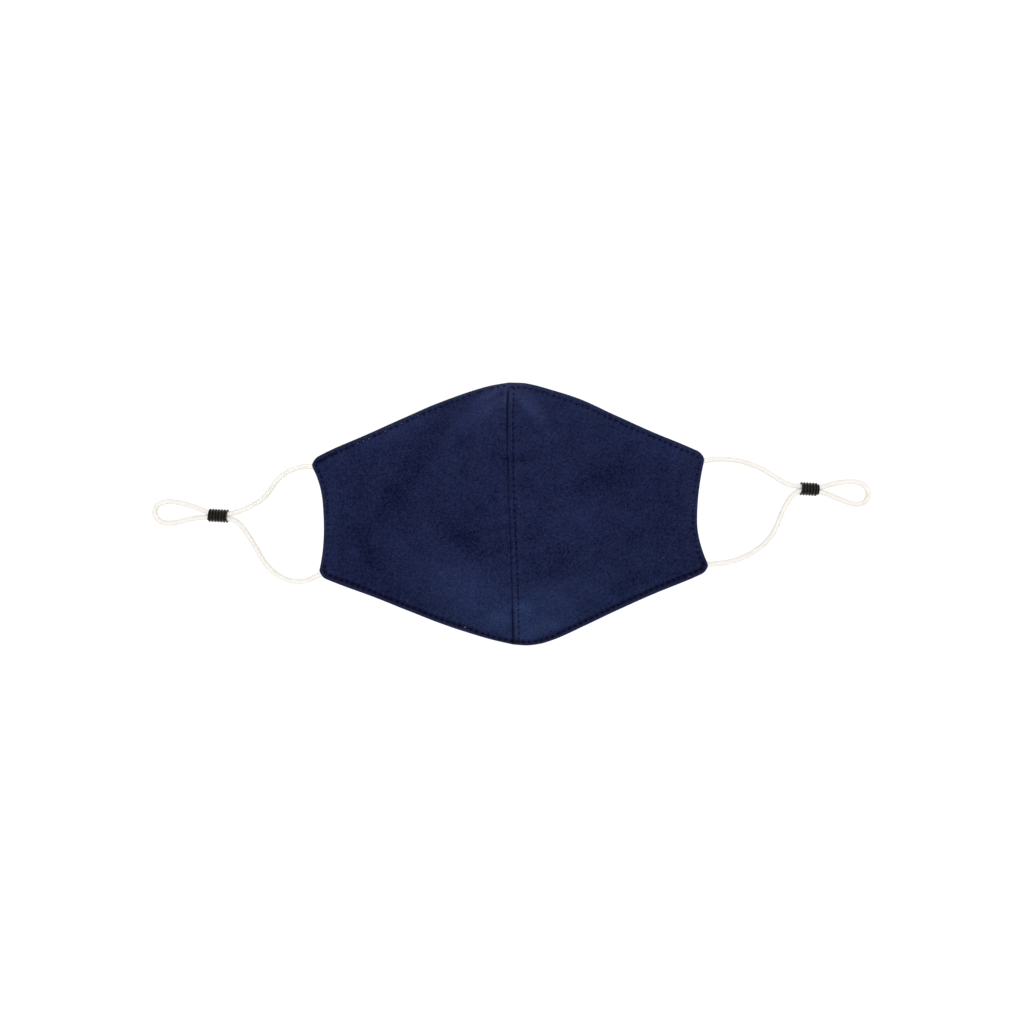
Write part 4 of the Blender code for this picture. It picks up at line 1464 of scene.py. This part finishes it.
    def nearest(self, points: Array, line: Array) -> tuple[Array, Array]:
        """Distance from points to a line, and how far along the line its nearest place is.

        For each segment the nearest place is at the share dot(point - start, segment) / length squared,
        kept between 0 and 1.

        Args:
            points: places on the table.
            line: points of the line.

        Returns:
            Distances, and lengths along the line.
        """
        start, segment = line[:-1], np.diff(line, axis=0)
        size = (segment**2).sum(1)
        reach = arc_lengths(line)
        distances, arcs = [], []
        for part in np.array_split(points, max(1, len(points) // 1500)):
            offset = part[:, None] - start[None]
            share = np.clip((offset * segment).sum(2) / size, 0.0, 1.0)
            away = np.linalg.norm(offset - share[..., None] * segment, axis=2)
            index = away.argmin(1)
            row = np.arange(len(part))
            distances.append(away[row, index])
            arcs.append(reach[index] + share[row, index] * np.sqrt(size[index]))
        return np.concatenate(distances), np.concatenate(arcs)

    def dome(self, along: Array, x: Array) -> Array:
        """Height of the underside: an arch 1 - u**power from edge to edge, flat in the ear margin.

        Args:
            along: share of the way from chin to nose.
            x: place on the table.

        Returns:
            The heights.
        """
        seam = self.plan.seam_line(along)
        margin = self.plan.ear_line(self.side, along) - self.side.value * self.ear_margin
        station = np.clip((x - seam) / (margin - seam), 0.0, 1.0)
        crown = smooth_column(DOME, "crown", station) * self.ridge
        peak = smooth_column(DOME, "peak", station)
        chin = np.clip((peak - along) / peak, 0.0, 1.0) ** smooth_column(DOME, "chin_power", station)
        nose = np.clip((along - peak) / (1 - peak), 0.0, 1.0) ** smooth_column(DOME, "nose_power", station)
        lift = smooth_column(DOME, "edge_lift", station) * self.edge_lift
        height = lift + (crown - lift) * (1 - chin - nose)
        return np.where(station < 1.0, np.maximum(height, 0.0), 0.0)

    def folds(self, across: Array, x: Array, y: Array, height: Array) -> Array:
        """Sum of the folds and creases: a bell across each line, fading beyond its ends and at the edges.

        Args:
            across: share of the way from seam to ear.
            x: place on the table.
            y: place on the table.
            height: of the arch.

        Returns:
            Heights to add.
        """
        ends = []
        for fold in FOLDS:
            if fold.side is self.side:
                start = np.array(self.plan.place(self.side, fold.from_across, fold.from_along))
                end = np.array(self.plan.place(self.side, fold.to_across, fold.to_along))
                ends.append((start, end, fold.width * self.ridge, self.FOLD_LEFT * fold.depth * self.ridge))
        grow = smooth_step(height / (self.FOLD_GROWS * self.ridge)) * smooth_step(across / self.FOLD_SETS_IN)
        total = sum(self.fold(x, y, *parts) for parts in ends) * grow
        free = smooth_step(height / (self.CREASE_GROWS * self.ridge))
        for crease in CREASES:
            start = np.array([crease.from_x, crease.from_y]) * MM
            end = np.array([crease.to_x, crease.to_y]) * MM
            total = total + self.fold(x, y, start, end, crease.width * MM, crease.height * MM) * free
        return total

    def fold(self, x: Array, y: Array, start: Array, end: Array, width: float, depth: float) -> Array:
        """One fold: depth * exp(-(distance from its line / width) squared).

        Args:
            x: place on the table.
            y: place on the table.
            start: of its line.
            end: of its line.
            width: at which it is 1/e.
            depth: on its line.

        Returns:
            Heights to add.
        """
        line = end - start
        dx, dy = x - start[0], y - start[1]
        share = np.clip((dx * line[0] + dy * line[1]) / (line @ line), 0.0, 1.0)
        return depth * bell(np.hypot(dx - share * line[0], dy - share * line[1]), width)

    def fade(self, x: Array, y: Array) -> Array:
        """Painted light and shade: a sum of soft ellipses, each tone * exp(-(distance in half sizes)
        squared).

        Args:
            x: place on the table.
            y: place on the table.

        Returns:
            Tones to add.
        """
        total = np.zeros_like(x)
        for patch in PAINTED_LIGHT_PATCHES:
            turn = math.radians(patch.direction)
            dx, dy = x / MM - patch.x, y / MM - patch.y
            along = (dx * math.cos(turn) + dy * math.sin(turn)) / patch.length
            aside = (dy * math.cos(turn) - dx * math.sin(turn)) / patch.width
            total = total + patch.tone * np.exp(-(along**2) - aside**2)
        return total

    def row_from_seam(self, y: Array) -> Array:
        """How far the stitches beside the seam run from it: a little closer in the middle."""
        return self.seam_row - 0.0005 * bell(y - 0.004, 0.028)

    def seam_shade(self, seam: Array, y: Array) -> Array:
        """How dark the seam is at a distance from it: darkness * exp(-(distance / width) squared)."""
        table = np.array(SEAM_SHADES)
        darkness = np.interp(y / MM, table[:, 0], table[:, 1])
        return darkness * bell(seam, np.interp(y / MM, table[:, 0], table[:, 2]) * MM)

    def knot(self, x: Array, y: Array) -> Array:
        """How dark the knot at the end of the back-tack is, from 0 to 1."""
        knot_x, knot_y, radius, darkness = self.KNOT
        return darkness * bell(np.hypot(x - knot_x, y - knot_y), radius)

    def on_ear(self, x: Array, y: Array) -> Array:
        """1 along the ear edge, falling to 0 towards its corners and the middle of the mask."""
        (from_x, from_y), (over_x, over_y) = self.EAR_FROM, self.EAR_OVER
        return smooth_step((np.abs(x) - from_x) / over_x) * smooth_step((from_y - np.abs(y)) / over_y)

    def bite(self, count: Array, x: Array, y: Array) -> Array:
        """How deep the stitches bite, from 0 to 1, by their count along the row.

        It varies from stitch to stitch: most of all on the ear edge, least on the chin edge. The chance
        of a stitch is the fraction of a large multiple of a sine of its number.

        Args:
            count: stitches along the row.
            x: place on the table.
            y: place on the table.

        Returns:
            The bites.
        """
        # The bite scales the painted shade in the stitches' pits and on their thread
        chance = np.modf(np.abs(np.sin((np.floor(count) + 1) * 12.9898)) * 43758.5453)[0]
        ear = self.on_ear(x, y)
        least = np.where(y > 0, self.LEAST_NOSE, self.LEAST_CHIN) * (1 - ear)
        least = least + self.LEAST_EAR[self.side] * ear
        return least + (1 - least) * chance ** (1.0 if self.side is Side.RIGHT else 1 + ear)

    def seam_bite(self, count: Array) -> Array:
        """How deep the stitches of the seam's row bite, which vary as those of the chin edge do."""
        return self.bite(count, np.zeros_like(count), np.full_like(count, -1.0))

    def ripple(self, x: Array, y: Array, height: Array) -> Array:
        """Waves of worn cloth: a sum of bent sines in several directions, fading where it lies flat.

        Args:
            x: place on the table.
            y: place on the table.
            height: of the arch.

        Returns:
            Heights to add.
        """
        total = 0.0
        for count, direction, phase, size in self.WAVES:
            way = x * math.cos(direction) + y * math.sin(direction)
            bend = 0.6 * np.sin((x - y) * 47 + phase * 3)
            total = total + size * MM * np.sin(2 * math.pi * (way * count / 2.4) + phase + bend)
        return total * (0.25 + 0.75 * smooth_step(height / 0.006))

    def bulge(self, x: Array, y: Array) -> Array:
        """How much higher the cloth stands over the two cords' ends, a ridge that fades inwards.

        Args:
            x: place on the table.
            y: place on the table.

        Returns:
            Heights to add.
        """
        total = 0.0
        for nose, table in ((True, NOSE_STRAND), (False, CHIN_STRAND)):
            corner = self.plan.corner(self.side, nose)
            neighbour = np.array(table[self.side][0 if nose else -1])
            inwards = unit(corner - neighbour)
            dx, dy = x - corner[0], y - corner[1]
            deep, aside = dx * inwards[0] + dy * inwards[1], dx * inwards[1] - dy * inwards[0]
            ending = smooth_step((self.BULGE_END - deep) / self.BULGE_FADE)
            total = total + self.cord_bulge * bell(aside, self.BULGE_WIDTH) * ending
        return total

    def relief(self, edge: Array, row: Array, count: Array, seam: Array, y: Array) -> Array:
        """Small height changes of the outer side.

        The hem's stitches pull a groove, deepest under each stitch, with puckers that fade inwards.
        The seam is a narrow valley. On the right, a raised strip lies between it and its own groove.

        Args:
            edge: distance from the free edges.
            row: distance from the hem's stitches.
            count: stitches along the hem.
            seam: distance from the seam.
            y: place along the seam.

        Returns:
            Heights to add.
        """
        held = 0.5 - 0.5 * np.cos(2 * math.pi * count)
        pull = (self.GROOVE + self.GROOVE_HELD * held) * (1 - self.EAR_EASED * self.on_ear(seam, y))
        groove = -bell(row, self.GROOVE_WIDTH) * pull * MM
        roll = bell(edge - self.ROLL_AT, self.ROLL_WIDTH) * self.ROLL * MM
        pucker = self.PUCKER * MM * np.cos(2 * math.pi * count) * bell(row, self.PUCKER_REACH)
        valley = -self.VALLEY * MM * np.exp(-seam / self.VALLEY_REACH)
        swell = 0.5 + 0.5 * np.sin(2 * math.pi * y / self.SWELL_REPEAT + 1.7 * np.sin(y * 130 + 0.4))
        drawn = -self.DRAWN * MM * swell * np.exp(-seam / self.DRAWN_REACH)
        total = groove + roll + pucker + valley + drawn
        if self.side is Side.RIGHT:
            seam_row = self.row_from_seam(y)
            step = smooth_step((seam_row - self.STRIP_SHORT - seam) / self.STRIP_FALL)
            held = 0.5 - 0.5 * np.cos(2 * math.pi * y / self.pitch)
            pull = self.SEAM_GROOVE + self.SEAM_HELD * held
            groove = bell(seam - seam_row, self.SEAM_WIDTH) * pull * MM
            total = total + self.STRIP * MM * step - groove
        return total

    def build(self, material: bpy.types.Material) -> bpy.types.Object:
        """Work out the outer side and underside on one grid, and weld them at the rolled edges.

        With d the distance from the edge, each side stands half the cloth's thickness from its middle,
        times sqrt(1 - (1 - d / rim) squared), so the edge is half round.

        Args:
            material: the cotton.

        Returns:
            The panel, which stands for the CAD's.
        """
        across, along = np.meshgrid(self.stations_across(), self.stations_along(), indexing="ij")
        x, y = self.plan.place(self.side, across, along)
        height = self.dome(along, x)
        under = height + self.folds(across, x, y, height) + self.ripple(x, y, height)
        under = np.maximum(under, 0.0)
        points = np.column_stack([x.ravel(), y.ravel()])
        chin = self.plan.edge_line(self.side, "chin_edge", across)
        nose = self.plan.edge_line(self.side, "nose_edge", across)
        from_ear = np.abs(self.plan.ear_line(self.side, along) - x)
        guess = np.minimum(np.minimum(nose - y, y - chin) * self.SLANT, from_ear)
        close = guess.ravel() < self.REACH
        edge = np.full(len(points), self.REACH)
        row, count = edge.copy(), np.zeros(len(points))
        edge[close] = self.nearest(points[close], self.outline())[0]
        row[close], arc = self.nearest(points[close], self.stitch_line())
        count[close] = arc / self.pitch
        edge, row, count = (numbers.reshape(x.shape) for numbers in (edge, row, count))
        edge[:, [0, -1]] = 0.0
        edge[-1] = 0.0
        seam = np.abs(x - self.plan.seam_line(along))
        grid = np.dstack([x, y, under])
        normal = np.cross(*np.gradient(grid, axis=(0, 1)))
        steep = np.linalg.norm(normal, axis=2) / np.maximum(np.abs(normal[..., 2]), 1e-12)
        cloth = self.thickness * np.minimum(steep, self.STEEPEST) + self.bulge(x, y)
        rounded = np.sqrt(1 - (1 - np.clip(edge / self.rim, 0.0, 1.0)) ** 2)
        relief = self.relief(edge, row, count, seam, y) * rounded
        outer = np.dstack([x, y, under + cloth * (0.5 + 0.5 * rounded) + relief])
        inner = np.dstack([x, y, under + cloth * (0.5 - 0.5 * rounded)])
        self.outer, self.inner = outer, inner
        maps = {"hem": (count, row), "seam_row": (y / self.pitch, np.abs(seam - self.row_from_seam(y)))}
        on_seam_row = np.abs(y - self.SEAM_ROW_AT * MM) < self.SEAM_ROW_HALF * MM
        # Painted light on raised places and in the patches, painted shade along the seam with the knot, and
        # each stitch's bite
        values = {
            "edge": edge / MM, "crest": self.crest(outer[..., 2]), "fade": self.fade(x, y),
            "shade": self.seam_shade(seam, y) + self.knot(x, y), "bite": self.bite(count, x, y),
            "seam_bite": self.seam_bite(y / self.pitch + 0.5) * on_seam_row,
        }
        panel = self.weld(outer, inner, maps, values).to_object(f"{self.side.word}_cloth", material)
        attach(panel, "root")
        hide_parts(f"{self.side.word}_panel")
        return panel

    def weld(self, outer: Array, inner: Array, maps: dict, values: dict) -> Shape:
        """Join the two sides into one closed shape with its maps and values.

        Args:
            outer: grid of the outer side.
            inner: grid of the underside.
            maps: by name, a count along a row of stitches and the metres away from it, as grids.
            values: by name, numbers as grids.

        Returns:
            The closed shape.
        """
        rows, columns = outer.shape[:2]
        top = np.arange(rows * columns).reshape(rows, columns)
        low = top + rows * columns
        low[:, [0, -1]] = top[:, [0, -1]]
        low[-1] = top[-1]

        def cells(grid: Array) -> Array:
            """Quads between neighbouring points of a grid of point numbers."""
            return np.stack([grid[:-1, :-1], grid[1:, :-1], grid[1:, 1:], grid[:-1, 1:]], 2).reshape(-1, 4)

        wall = np.column_stack([top[0, :-1], top[0, 1:], low[0, 1:], low[0, :-1]])
        tips = np.array([[top[0, 0], top[0, 1], low[0, 1]], [top[0, -2], top[0, -1], low[0, -2]]])
        quads = np.concatenate([cells(top), cells(low)[:, ::-1], wall[1:-1]])
        points = np.concatenate([outer.reshape(-1, 3), inner.reshape(-1, 3)])
        used, index = np.unique(np.concatenate([quads.ravel(), tips.ravel()]), return_inverse=True)
        uvs = {
            name: np.tile(np.column_stack([along.ravel(), away.ravel() / MM]), (2, 1))[used][index]
            for name, (along, away) in maps.items()
        }
        numbers = {name: np.tile(grid.ravel(), 2)[used] for name, grid in values.items()}
        quads, tips = index[: quads.size].reshape(-1, 4), index[quads.size :].reshape(-1, 3)
        return Shape(points[used], quads, tips, uvs, numbers)

    def crest(self, height: Array) -> Array:
        """How much each place stands above its surroundings, from -1 to 1: height less its blurred self.

        Args:
            height: of the outer side, as a grid.

        Returns:
            The grid of shares.
        """
        window = np.hanning(13)[1:-1]
        window /= window.sum()
        blurred = height
        for axis in (0, 1):
            padded = np.pad(blurred, [(5, 5) if k == axis else (0, 0) for k in (0, 1)], mode="reflect",
                            reflect_type="odd")
            blurred = sum(
                weight * np.take(padded, range(k, k + height.shape[axis]), axis)
                for k, weight in enumerate(window)
            )
        return np.clip((height - blurred) / (0.12 * MM), -1.0, 1.0)

    def surface_at(self, places: Array, top: bool) -> tuple[Array, Array]:
        """Points on the outer side or underside above places on the table, and the normals there.

        The height is that of the nearest grid point, carried on along the slope there.

        Args:
            places: X and Y.
            top: whether on the outer side.

        Returns:
            Points, and unit normals that point up.
        """
        grid = self.outer if top else self.inner
        flat = grid.reshape(-1, 3)
        normals = unit(np.cross(*np.gradient(grid, axis=(0, 1)))).reshape(-1, 3)
        normals *= np.sign(normals[:, 2:])
        index = np.concatenate([
            ((part[:, None] - flat[None, :, :2]) ** 2).sum(2).argmin(1)
            for part in np.array_split(places, max(1, len(places) // 40))
        ])
        normal = normals[index]
        offset = places - flat[index, :2]
        z = flat[index, 2] - (offset * normal[:, :2]).sum(1) / normal[:, 2]
        return np.column_stack([places, z]), normal


class Stitches(NamedTuple):
    """Stitches on a panel: their middles and directions on the table, lengths and widths, and bites."""

    places: Array
    ways: Array
    sizes: Array
    bites: Array


@dataclass
class StitchRow:
    """Rows of machine stitches on one panel, joined into one piece.

    Attributes:
        panel: the cloth that they hold.
        length: of a stitch.
        width: of the thread as it lies.
        height: of the thread as it lies.
        sag: how far its ends dive into the needle holes.
    """

    panel: ClothPanel
    length: float = 0.0018
    width: float = 0.00056
    height: float = 0.00034
    sag: float = 0.00022

    # Sides of a stitch
    SIDES = 6
    # The stretch of the nose hem in X on which the back-tack lies, its size, and how far its stitches
    # sway to both sides and how far inwards
    BACK_TACK, TACK_SIZE, TACK_SWAY, TACK_IN = (-0.1100, -0.0976), (0.48, 1.35), 0.00052, 0.0002
    # Numbers and size of the stitches of the seam's row
    SEAM_COUNT, SEAM_SIZE = (-21, 21), (0.60, 1.20)
    # How deep the stitches lie on the outer side and on the underside, and the least height over the table
    DEPTHS, LEAST_HEIGHT = (0.00008, 0.00014), 0.00002
    # Places of the stitches that glint, in millimetres, and how near one has to be
    GLINTS = ((-85.044, 41.553), (-81.624, 43.035), (-78.375, 44.631), (-69.027, 48.621), (-59.223, 52.611),
              (-49.761, 56.601), (-18.012, 69.027), (-11.628, 71.307), (-27.075, -64.125),
              (104.253, 5.472), (104.253, 1.881))
    GLINT_REACH = 0.0021

    def capsule(self) -> tuple[Array, Array, Array, Array]:
        """One stitch: a ring carried along with the radius sqrt(1 - a**4) and closed at both ends.

        Returns:
            Its points, quads, triangles and twist map.
        """
        at = np.array([-0.92, -0.5, 0.0, 0.5, 0.92])
        angle = np.arange(self.SIDES) / self.SIDES * 2 * math.pi
        size = np.sqrt(1 - at**4)
        middle = np.repeat(at[:, None], self.SIDES, axis=1)
        rings = np.dstack([middle, np.outer(size, np.cos(angle)), np.outer(size, np.sin(angle))])
        shape = loft(rings, False, np.arange(self.SIDES + 1) / self.SIDES, at, "twist")
        return shape.points, shape.quads, shape.triangles, shape.uvs["twist"]

    def spread(self, places: Array, way: Array, top: bool) -> tuple[Array, Array, Array]:
        """Put each stitch on the cloth.

        Args:
            places: X and Y of the middles.
            way: unit vectors along the stitches, on the table.
            top: whether on the outer side.

        Returns:
            Middles, directions and normals in space.
        """
        middle, normal = self.panel.surface_at(places, top)
        if not top:
            normal = -normal
        flat = np.column_stack([way, np.zeros(len(way))])
        along = unit(flat - (flat * normal).sum(1, keepdims=True) * normal)
        return middle, along, normal

    def hem_stitches(self, line: Array) -> Stitches:
        """The stitches of the hem, which are longer on the chin side and shorter on the ear edge.

        Args:
            line: of the hem.

        Returns:
            The stitches.
        """
        panel = self.panel
        reach = arc_lengths(line)
        middles = np.arange(0.5, reach[-1] / panel.pitch - 0.3) * panel.pitch
        places = columns_at(middles, reach, line)
        ways = unit(columns_at(middles, reach, unit(np.gradient(line, axis=0))))
        chin, ear = smooth_step((-0.004 - places[:, 1]) / 0.008), panel.on_ear(*places.T)
        lengths = (0.90 + 0.40 * chin) * (1 - 0.45 * ear)
        widths = (1.12 + 0.53 * chin) * (1 - 0.15 * ear)
        bites = panel.bite(middles / panel.pitch, *places.T)
        return Stitches(places, ways, np.column_stack([lengths, widths]), bites)

    def back_tack(self, line: Array) -> Stitches:
        """The small stitches that sway across the hem where the machine went back and forth.

        Args:
            line: of the hem.

        Returns:
            The stitches.
        """
        start, end = self.BACK_TACK
        tack = np.flatnonzero((line[:, 1] > 0) & (line[:, 0] > start) & (line[:, 0] < end))[::4]
        tangent = unit(np.gradient(line, axis=0))[tack]
        inwards = np.column_stack([tangent[:, 1], -tangent[:, 0]])
        sway = self.TACK_SWAY * np.cos(np.arange(len(tack)) * 2.2) + self.TACK_IN
        sizes = np.full((len(tack), 2), self.TACK_SIZE)
        return Stitches(line[tack] + inwards * sway[:, None], tangent, sizes, np.ones(len(tack)))

    def seam_stitches(self) -> Stitches:
        """The stitches beside the seam.

        Returns:
            The stitches.
        """
        panel = self.panel
        count = np.arange(*self.SEAM_COUNT)
        along = (count + 0.5) * panel.pitch
        seam = panel.plan.seam_line(0.5 + along / panel.plan.length)
        places = np.column_stack([seam + panel.row_from_seam(along), along])
        ways = np.tile([0.0, 1.0], (len(along), 1))
        return Stitches(places, ways, np.full((len(along), 2), self.SEAM_SIZE), panel.seam_bite(count + 1.0))

    def rows(self) -> Stitches:
        """All stitches: the hem, and the back-tack on the left or the seam's row on the right."""
        line = self.panel.stitch_line()
        more = self.back_tack(line) if self.panel.side is Side.LEFT else self.seam_stitches()
        return Stitches(*(np.concatenate(parts) for parts in zip(self.hem_stitches(line), more)))

    def build(self, material: bpy.types.Material) -> bpy.types.Object:
        """Copy the capsule to every stitch of both sides of the cloth.

        Args:
            material: the thread.

        Returns:
            The stitches, as one piece.
        """
        local, quads, triangles, twist = self.capsule()
        places, ways, sizes, bite = self.rows()
        sides = [self.spread(places, ways, top) for top in (True, False)]
        middle, along, normal = (np.concatenate(parts) for parts in zip(*sides))
        across = np.cross(normal, along)
        long, wide = np.tile(sizes, (2, 1)).T
        a, b, c = local.T
        lying = [0.5 * self.height - self.DEPTHS[0], -self.DEPTHS[1]]
        depth = np.repeat(lying, len(places))[:, None]
        points = (
            middle[:, None]
            + along[:, None] * (a * self.length / 2 * long[:, None])[..., None]
            + across[:, None] * (b * self.width / 2 * wide[:, None])[..., None]
            + normal[:, None] * (c * self.height / 2 - self.sag * a**4 + depth)[..., None]
        )
        points[..., 2] = np.maximum(points[..., 2], self.LEAST_HEIGHT)
        count = len(middle)
        shift = (np.arange(count) * len(local))[:, None, None]
        twists = [np.tile(part, (count, 1)) for part in (twist[: quads.size], twist[quads.size :])]
        shape = Shape(
            points.reshape(-1, 3),
            (quads[None] + shift).reshape(-1, 4),
            (triangles[None] + shift).reshape(-1, 3),
            {"twist": np.concatenate(twists)},
        )
        gap = np.linalg.norm(middle[:, None, :2] - np.array(self.GLINTS) * MM, axis=2)
        shining = (gap.min(1) < self.GLINT_REACH) & (gap.min(1) <= gap.min(0)[gap.argmin(1)] + 1e-9)
        shape.values["glint"] = np.outer(shining, np.abs(a) < 0.2).ravel().astype(float)
        shape.values["bite"] = np.repeat(np.tile(bite, 2), len(local))
        stitches = shape.to_object(f"{self.panel.side.word}_stitches", material)
        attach(stitches, "root")
        return stitches


@dataclass(frozen=True)
class Table:
    """The pale table and the soft lights.

    Attributes:
        half_size: of the table.
        white: colour of its surface.
        glow: how much light it gives itself, as a light table does.
        sky: strength of the light from all round.
    """

    half_size: float = 3.0
    white: Colour = (0.15, 0.15, 0.15)
    glow: float = 0.95
    sky: float = 0.15

    def build(self) -> None:
        """Make the table top as a flat grid, the world's light and the area lights."""
        graph = Graph("white_table")
        graph.surface(self.white, 0.9, None, Specular_IOR_Level=0.0, Emission_Color=(1.0, 1.0, 1.0, 1.0),
                      Emission_Strength=self.glow)
        corner = np.array([(-1, -1, 0), (1, -1, 0), (1, 1, 0), (-1, 1, 0)]) * self.half_size
        mesh = bpy.data.meshes.new("table_top")
        mesh.from_pydata(corner.tolist(), [], [(0, 1, 2, 3)])
        mesh.materials.append(graph.material)
        add_object("table_top", mesh)
        world = bpy.data.worlds.new("studio")
        world.use_nodes = True
        sky = world.node_tree.nodes["Background"].inputs
        sky["Color"].default_value, sky["Strength"].default_value = (1.0, 1.0, 1.0, 1.0), self.sky
        bpy.context.scene.world = world
        bpy.context.scene.view_settings.view_transform = "Standard"
        for lamp in LAMPS:
            lamp.build()


@dataclass(frozen=True)
class Lamp:
    """A soft area light that looks at the mask.

    Attributes:
        name: of the light.
        place: of its middle.
        size: width and height.
        watts: power.
        colour: of its light.
    """

    name: str
    place: Place
    size: tuple[float, float]
    watts: float
    colour: Colour = (1.0, 1.0, 1.0)

    def build(self) -> None:
        """Add the light, which the camera doesn't see."""
        data = bpy.data.lights.new(self.name, "AREA")
        data.shape = "RECTANGLE"
        data.size, data.size_y = self.size
        data.energy = self.watts
        data.color = self.colour
        obj = add_object(self.name, data)
        obj.location = self.place
        away = -np.array(self.place)
        flat = math.hypot(away[0], away[1])
        obj.rotation_euler = (math.atan2(flat, -away[2]), 0.0, math.atan2(away[1], away[0]) - math.pi / 2)
        obj.visible_camera = False


LAMPS: tuple[Lamp, ...] = (
    Lamp("nose_side", (0.10, 1.20, 0.50), (1.6, 0.6), 8.0, (1.0, 0.985, 0.96)),
    Lamp("chin_side", (-0.10, -1.20, 0.50), (1.6, 0.6), 9.0, (0.96, 0.985, 1.0)),
    Lamp("left_side", (-1.20, 0.10, 0.50), (0.8, 0.6), 2.0),
    Lamp("right_side", (1.20, 0.10, 0.50), (0.8, 0.6), 2.0),
    Lamp("overhead", (0.0, 0.0, 1.60), (1.2, 1.2), 16.0),
)


@dataclass(frozen=True)
class Viewpoint:
    """The photograph's camera, which looks straight down.

    Attributes:
        place: of the camera.
        turn_deg: about the line of sight.
        lens: in millimetres, for a sensor 36 mm wide.
    """

    place: Place = (0.00118, 0.00119, 0.575)
    turn_deg: float = -1.0
    lens: float = 35.463

    def build(self) -> None:
        """Add the camera and make it the scene's."""
        data = bpy.data.cameras.new("camera")
        data.lens = self.lens
        data.sensor_width = 36.0
        data.clip_start, data.clip_end = 0.01, 20.0
        camera = add_object("camera", data)
        camera.location = self.place
        camera.rotation_euler = (0.0, 0.0, math.radians(self.turn_deg))
        bpy.context.scene.camera = camera


def clear_startup() -> None:
    """Remove what the startup scene holds beside the frame."""
    kept = {*frame["nodes"].values(), *frame["bodies"].values()}
    for obj in list(bpy.data.objects):
        if obj not in kept:
            bpy.data.objects.remove(obj, do_unlink=True)


# The whole length of each cord, the area of each panel's cut, and where a cord has a yellow spot
CORD_LENGTHS = {Side.LEFT: 0.2185, Side.RIGHT: 0.2143}
CUT_AREAS = {Side.LEFT: 0.0131, Side.RIGHT: 0.0135}
SPOTS = {Side.LEFT: None, Side.RIGHT: (0.2030, 0.0075, 0.0024)}
ADJUSTERS = {
    Side.LEFT: Adjuster(Side.LEFT, -0.1649, 0.0020, -4.0, nib=True),
    Side.RIGHT: Adjuster(Side.RIGHT, 0.1700, 0.0112, 175.5, rounding=0.0011, trim=0.0004),
}


def main() -> None:
    """Build the pieces in order: camera, cords and adjusters, cloth, and the table with its lights."""
    logging.basicConfig(level=logging.INFO, format="%(message)s")
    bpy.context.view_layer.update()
    clear_startup()
    plan = MaskPlan()
    Viewpoint().build()
    rubber = Rubber().material("black_rubber")
    for side in Side:
        elastic = Elastic(spot_at=SPOTS[side]).material(f"{side.word}_ivory_elastic")
        barrel = ADJUSTERS[side].build(rubber)
        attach(barrel, "root")
        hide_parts(f"{side.word}_cord_adjuster")
        ear_cord = EarCord(side, plan, ADJUSTERS[side], CORD_LENGTHS[side])
        cord = ear_cord.build(elastic)
        log.info("%s cord: %d rings", side.word, len(ear_cord.path))
        log.info("%s adjuster: %d points", side.word, len(barrel.data.vertices))
    thread = Thread().material("navy_thread")
    for side in Side:
        cotton = Cotton().material(f"{side.word}_navy_cotton", side is Side.RIGHT)
        panel = ClothPanel(side, plan, CUT_AREAS[side])
        cloth = panel.build(cotton)
        stitches = StitchRow(panel).build(thread)
        log.info("%s cloth: %d faces", side.word, len(cloth.data.polygons))
        log.info("%s stitches: %d faces", side.word, len(stitches.data.polygons))
    Table().build()


if __name__ == "__main__":
    main()
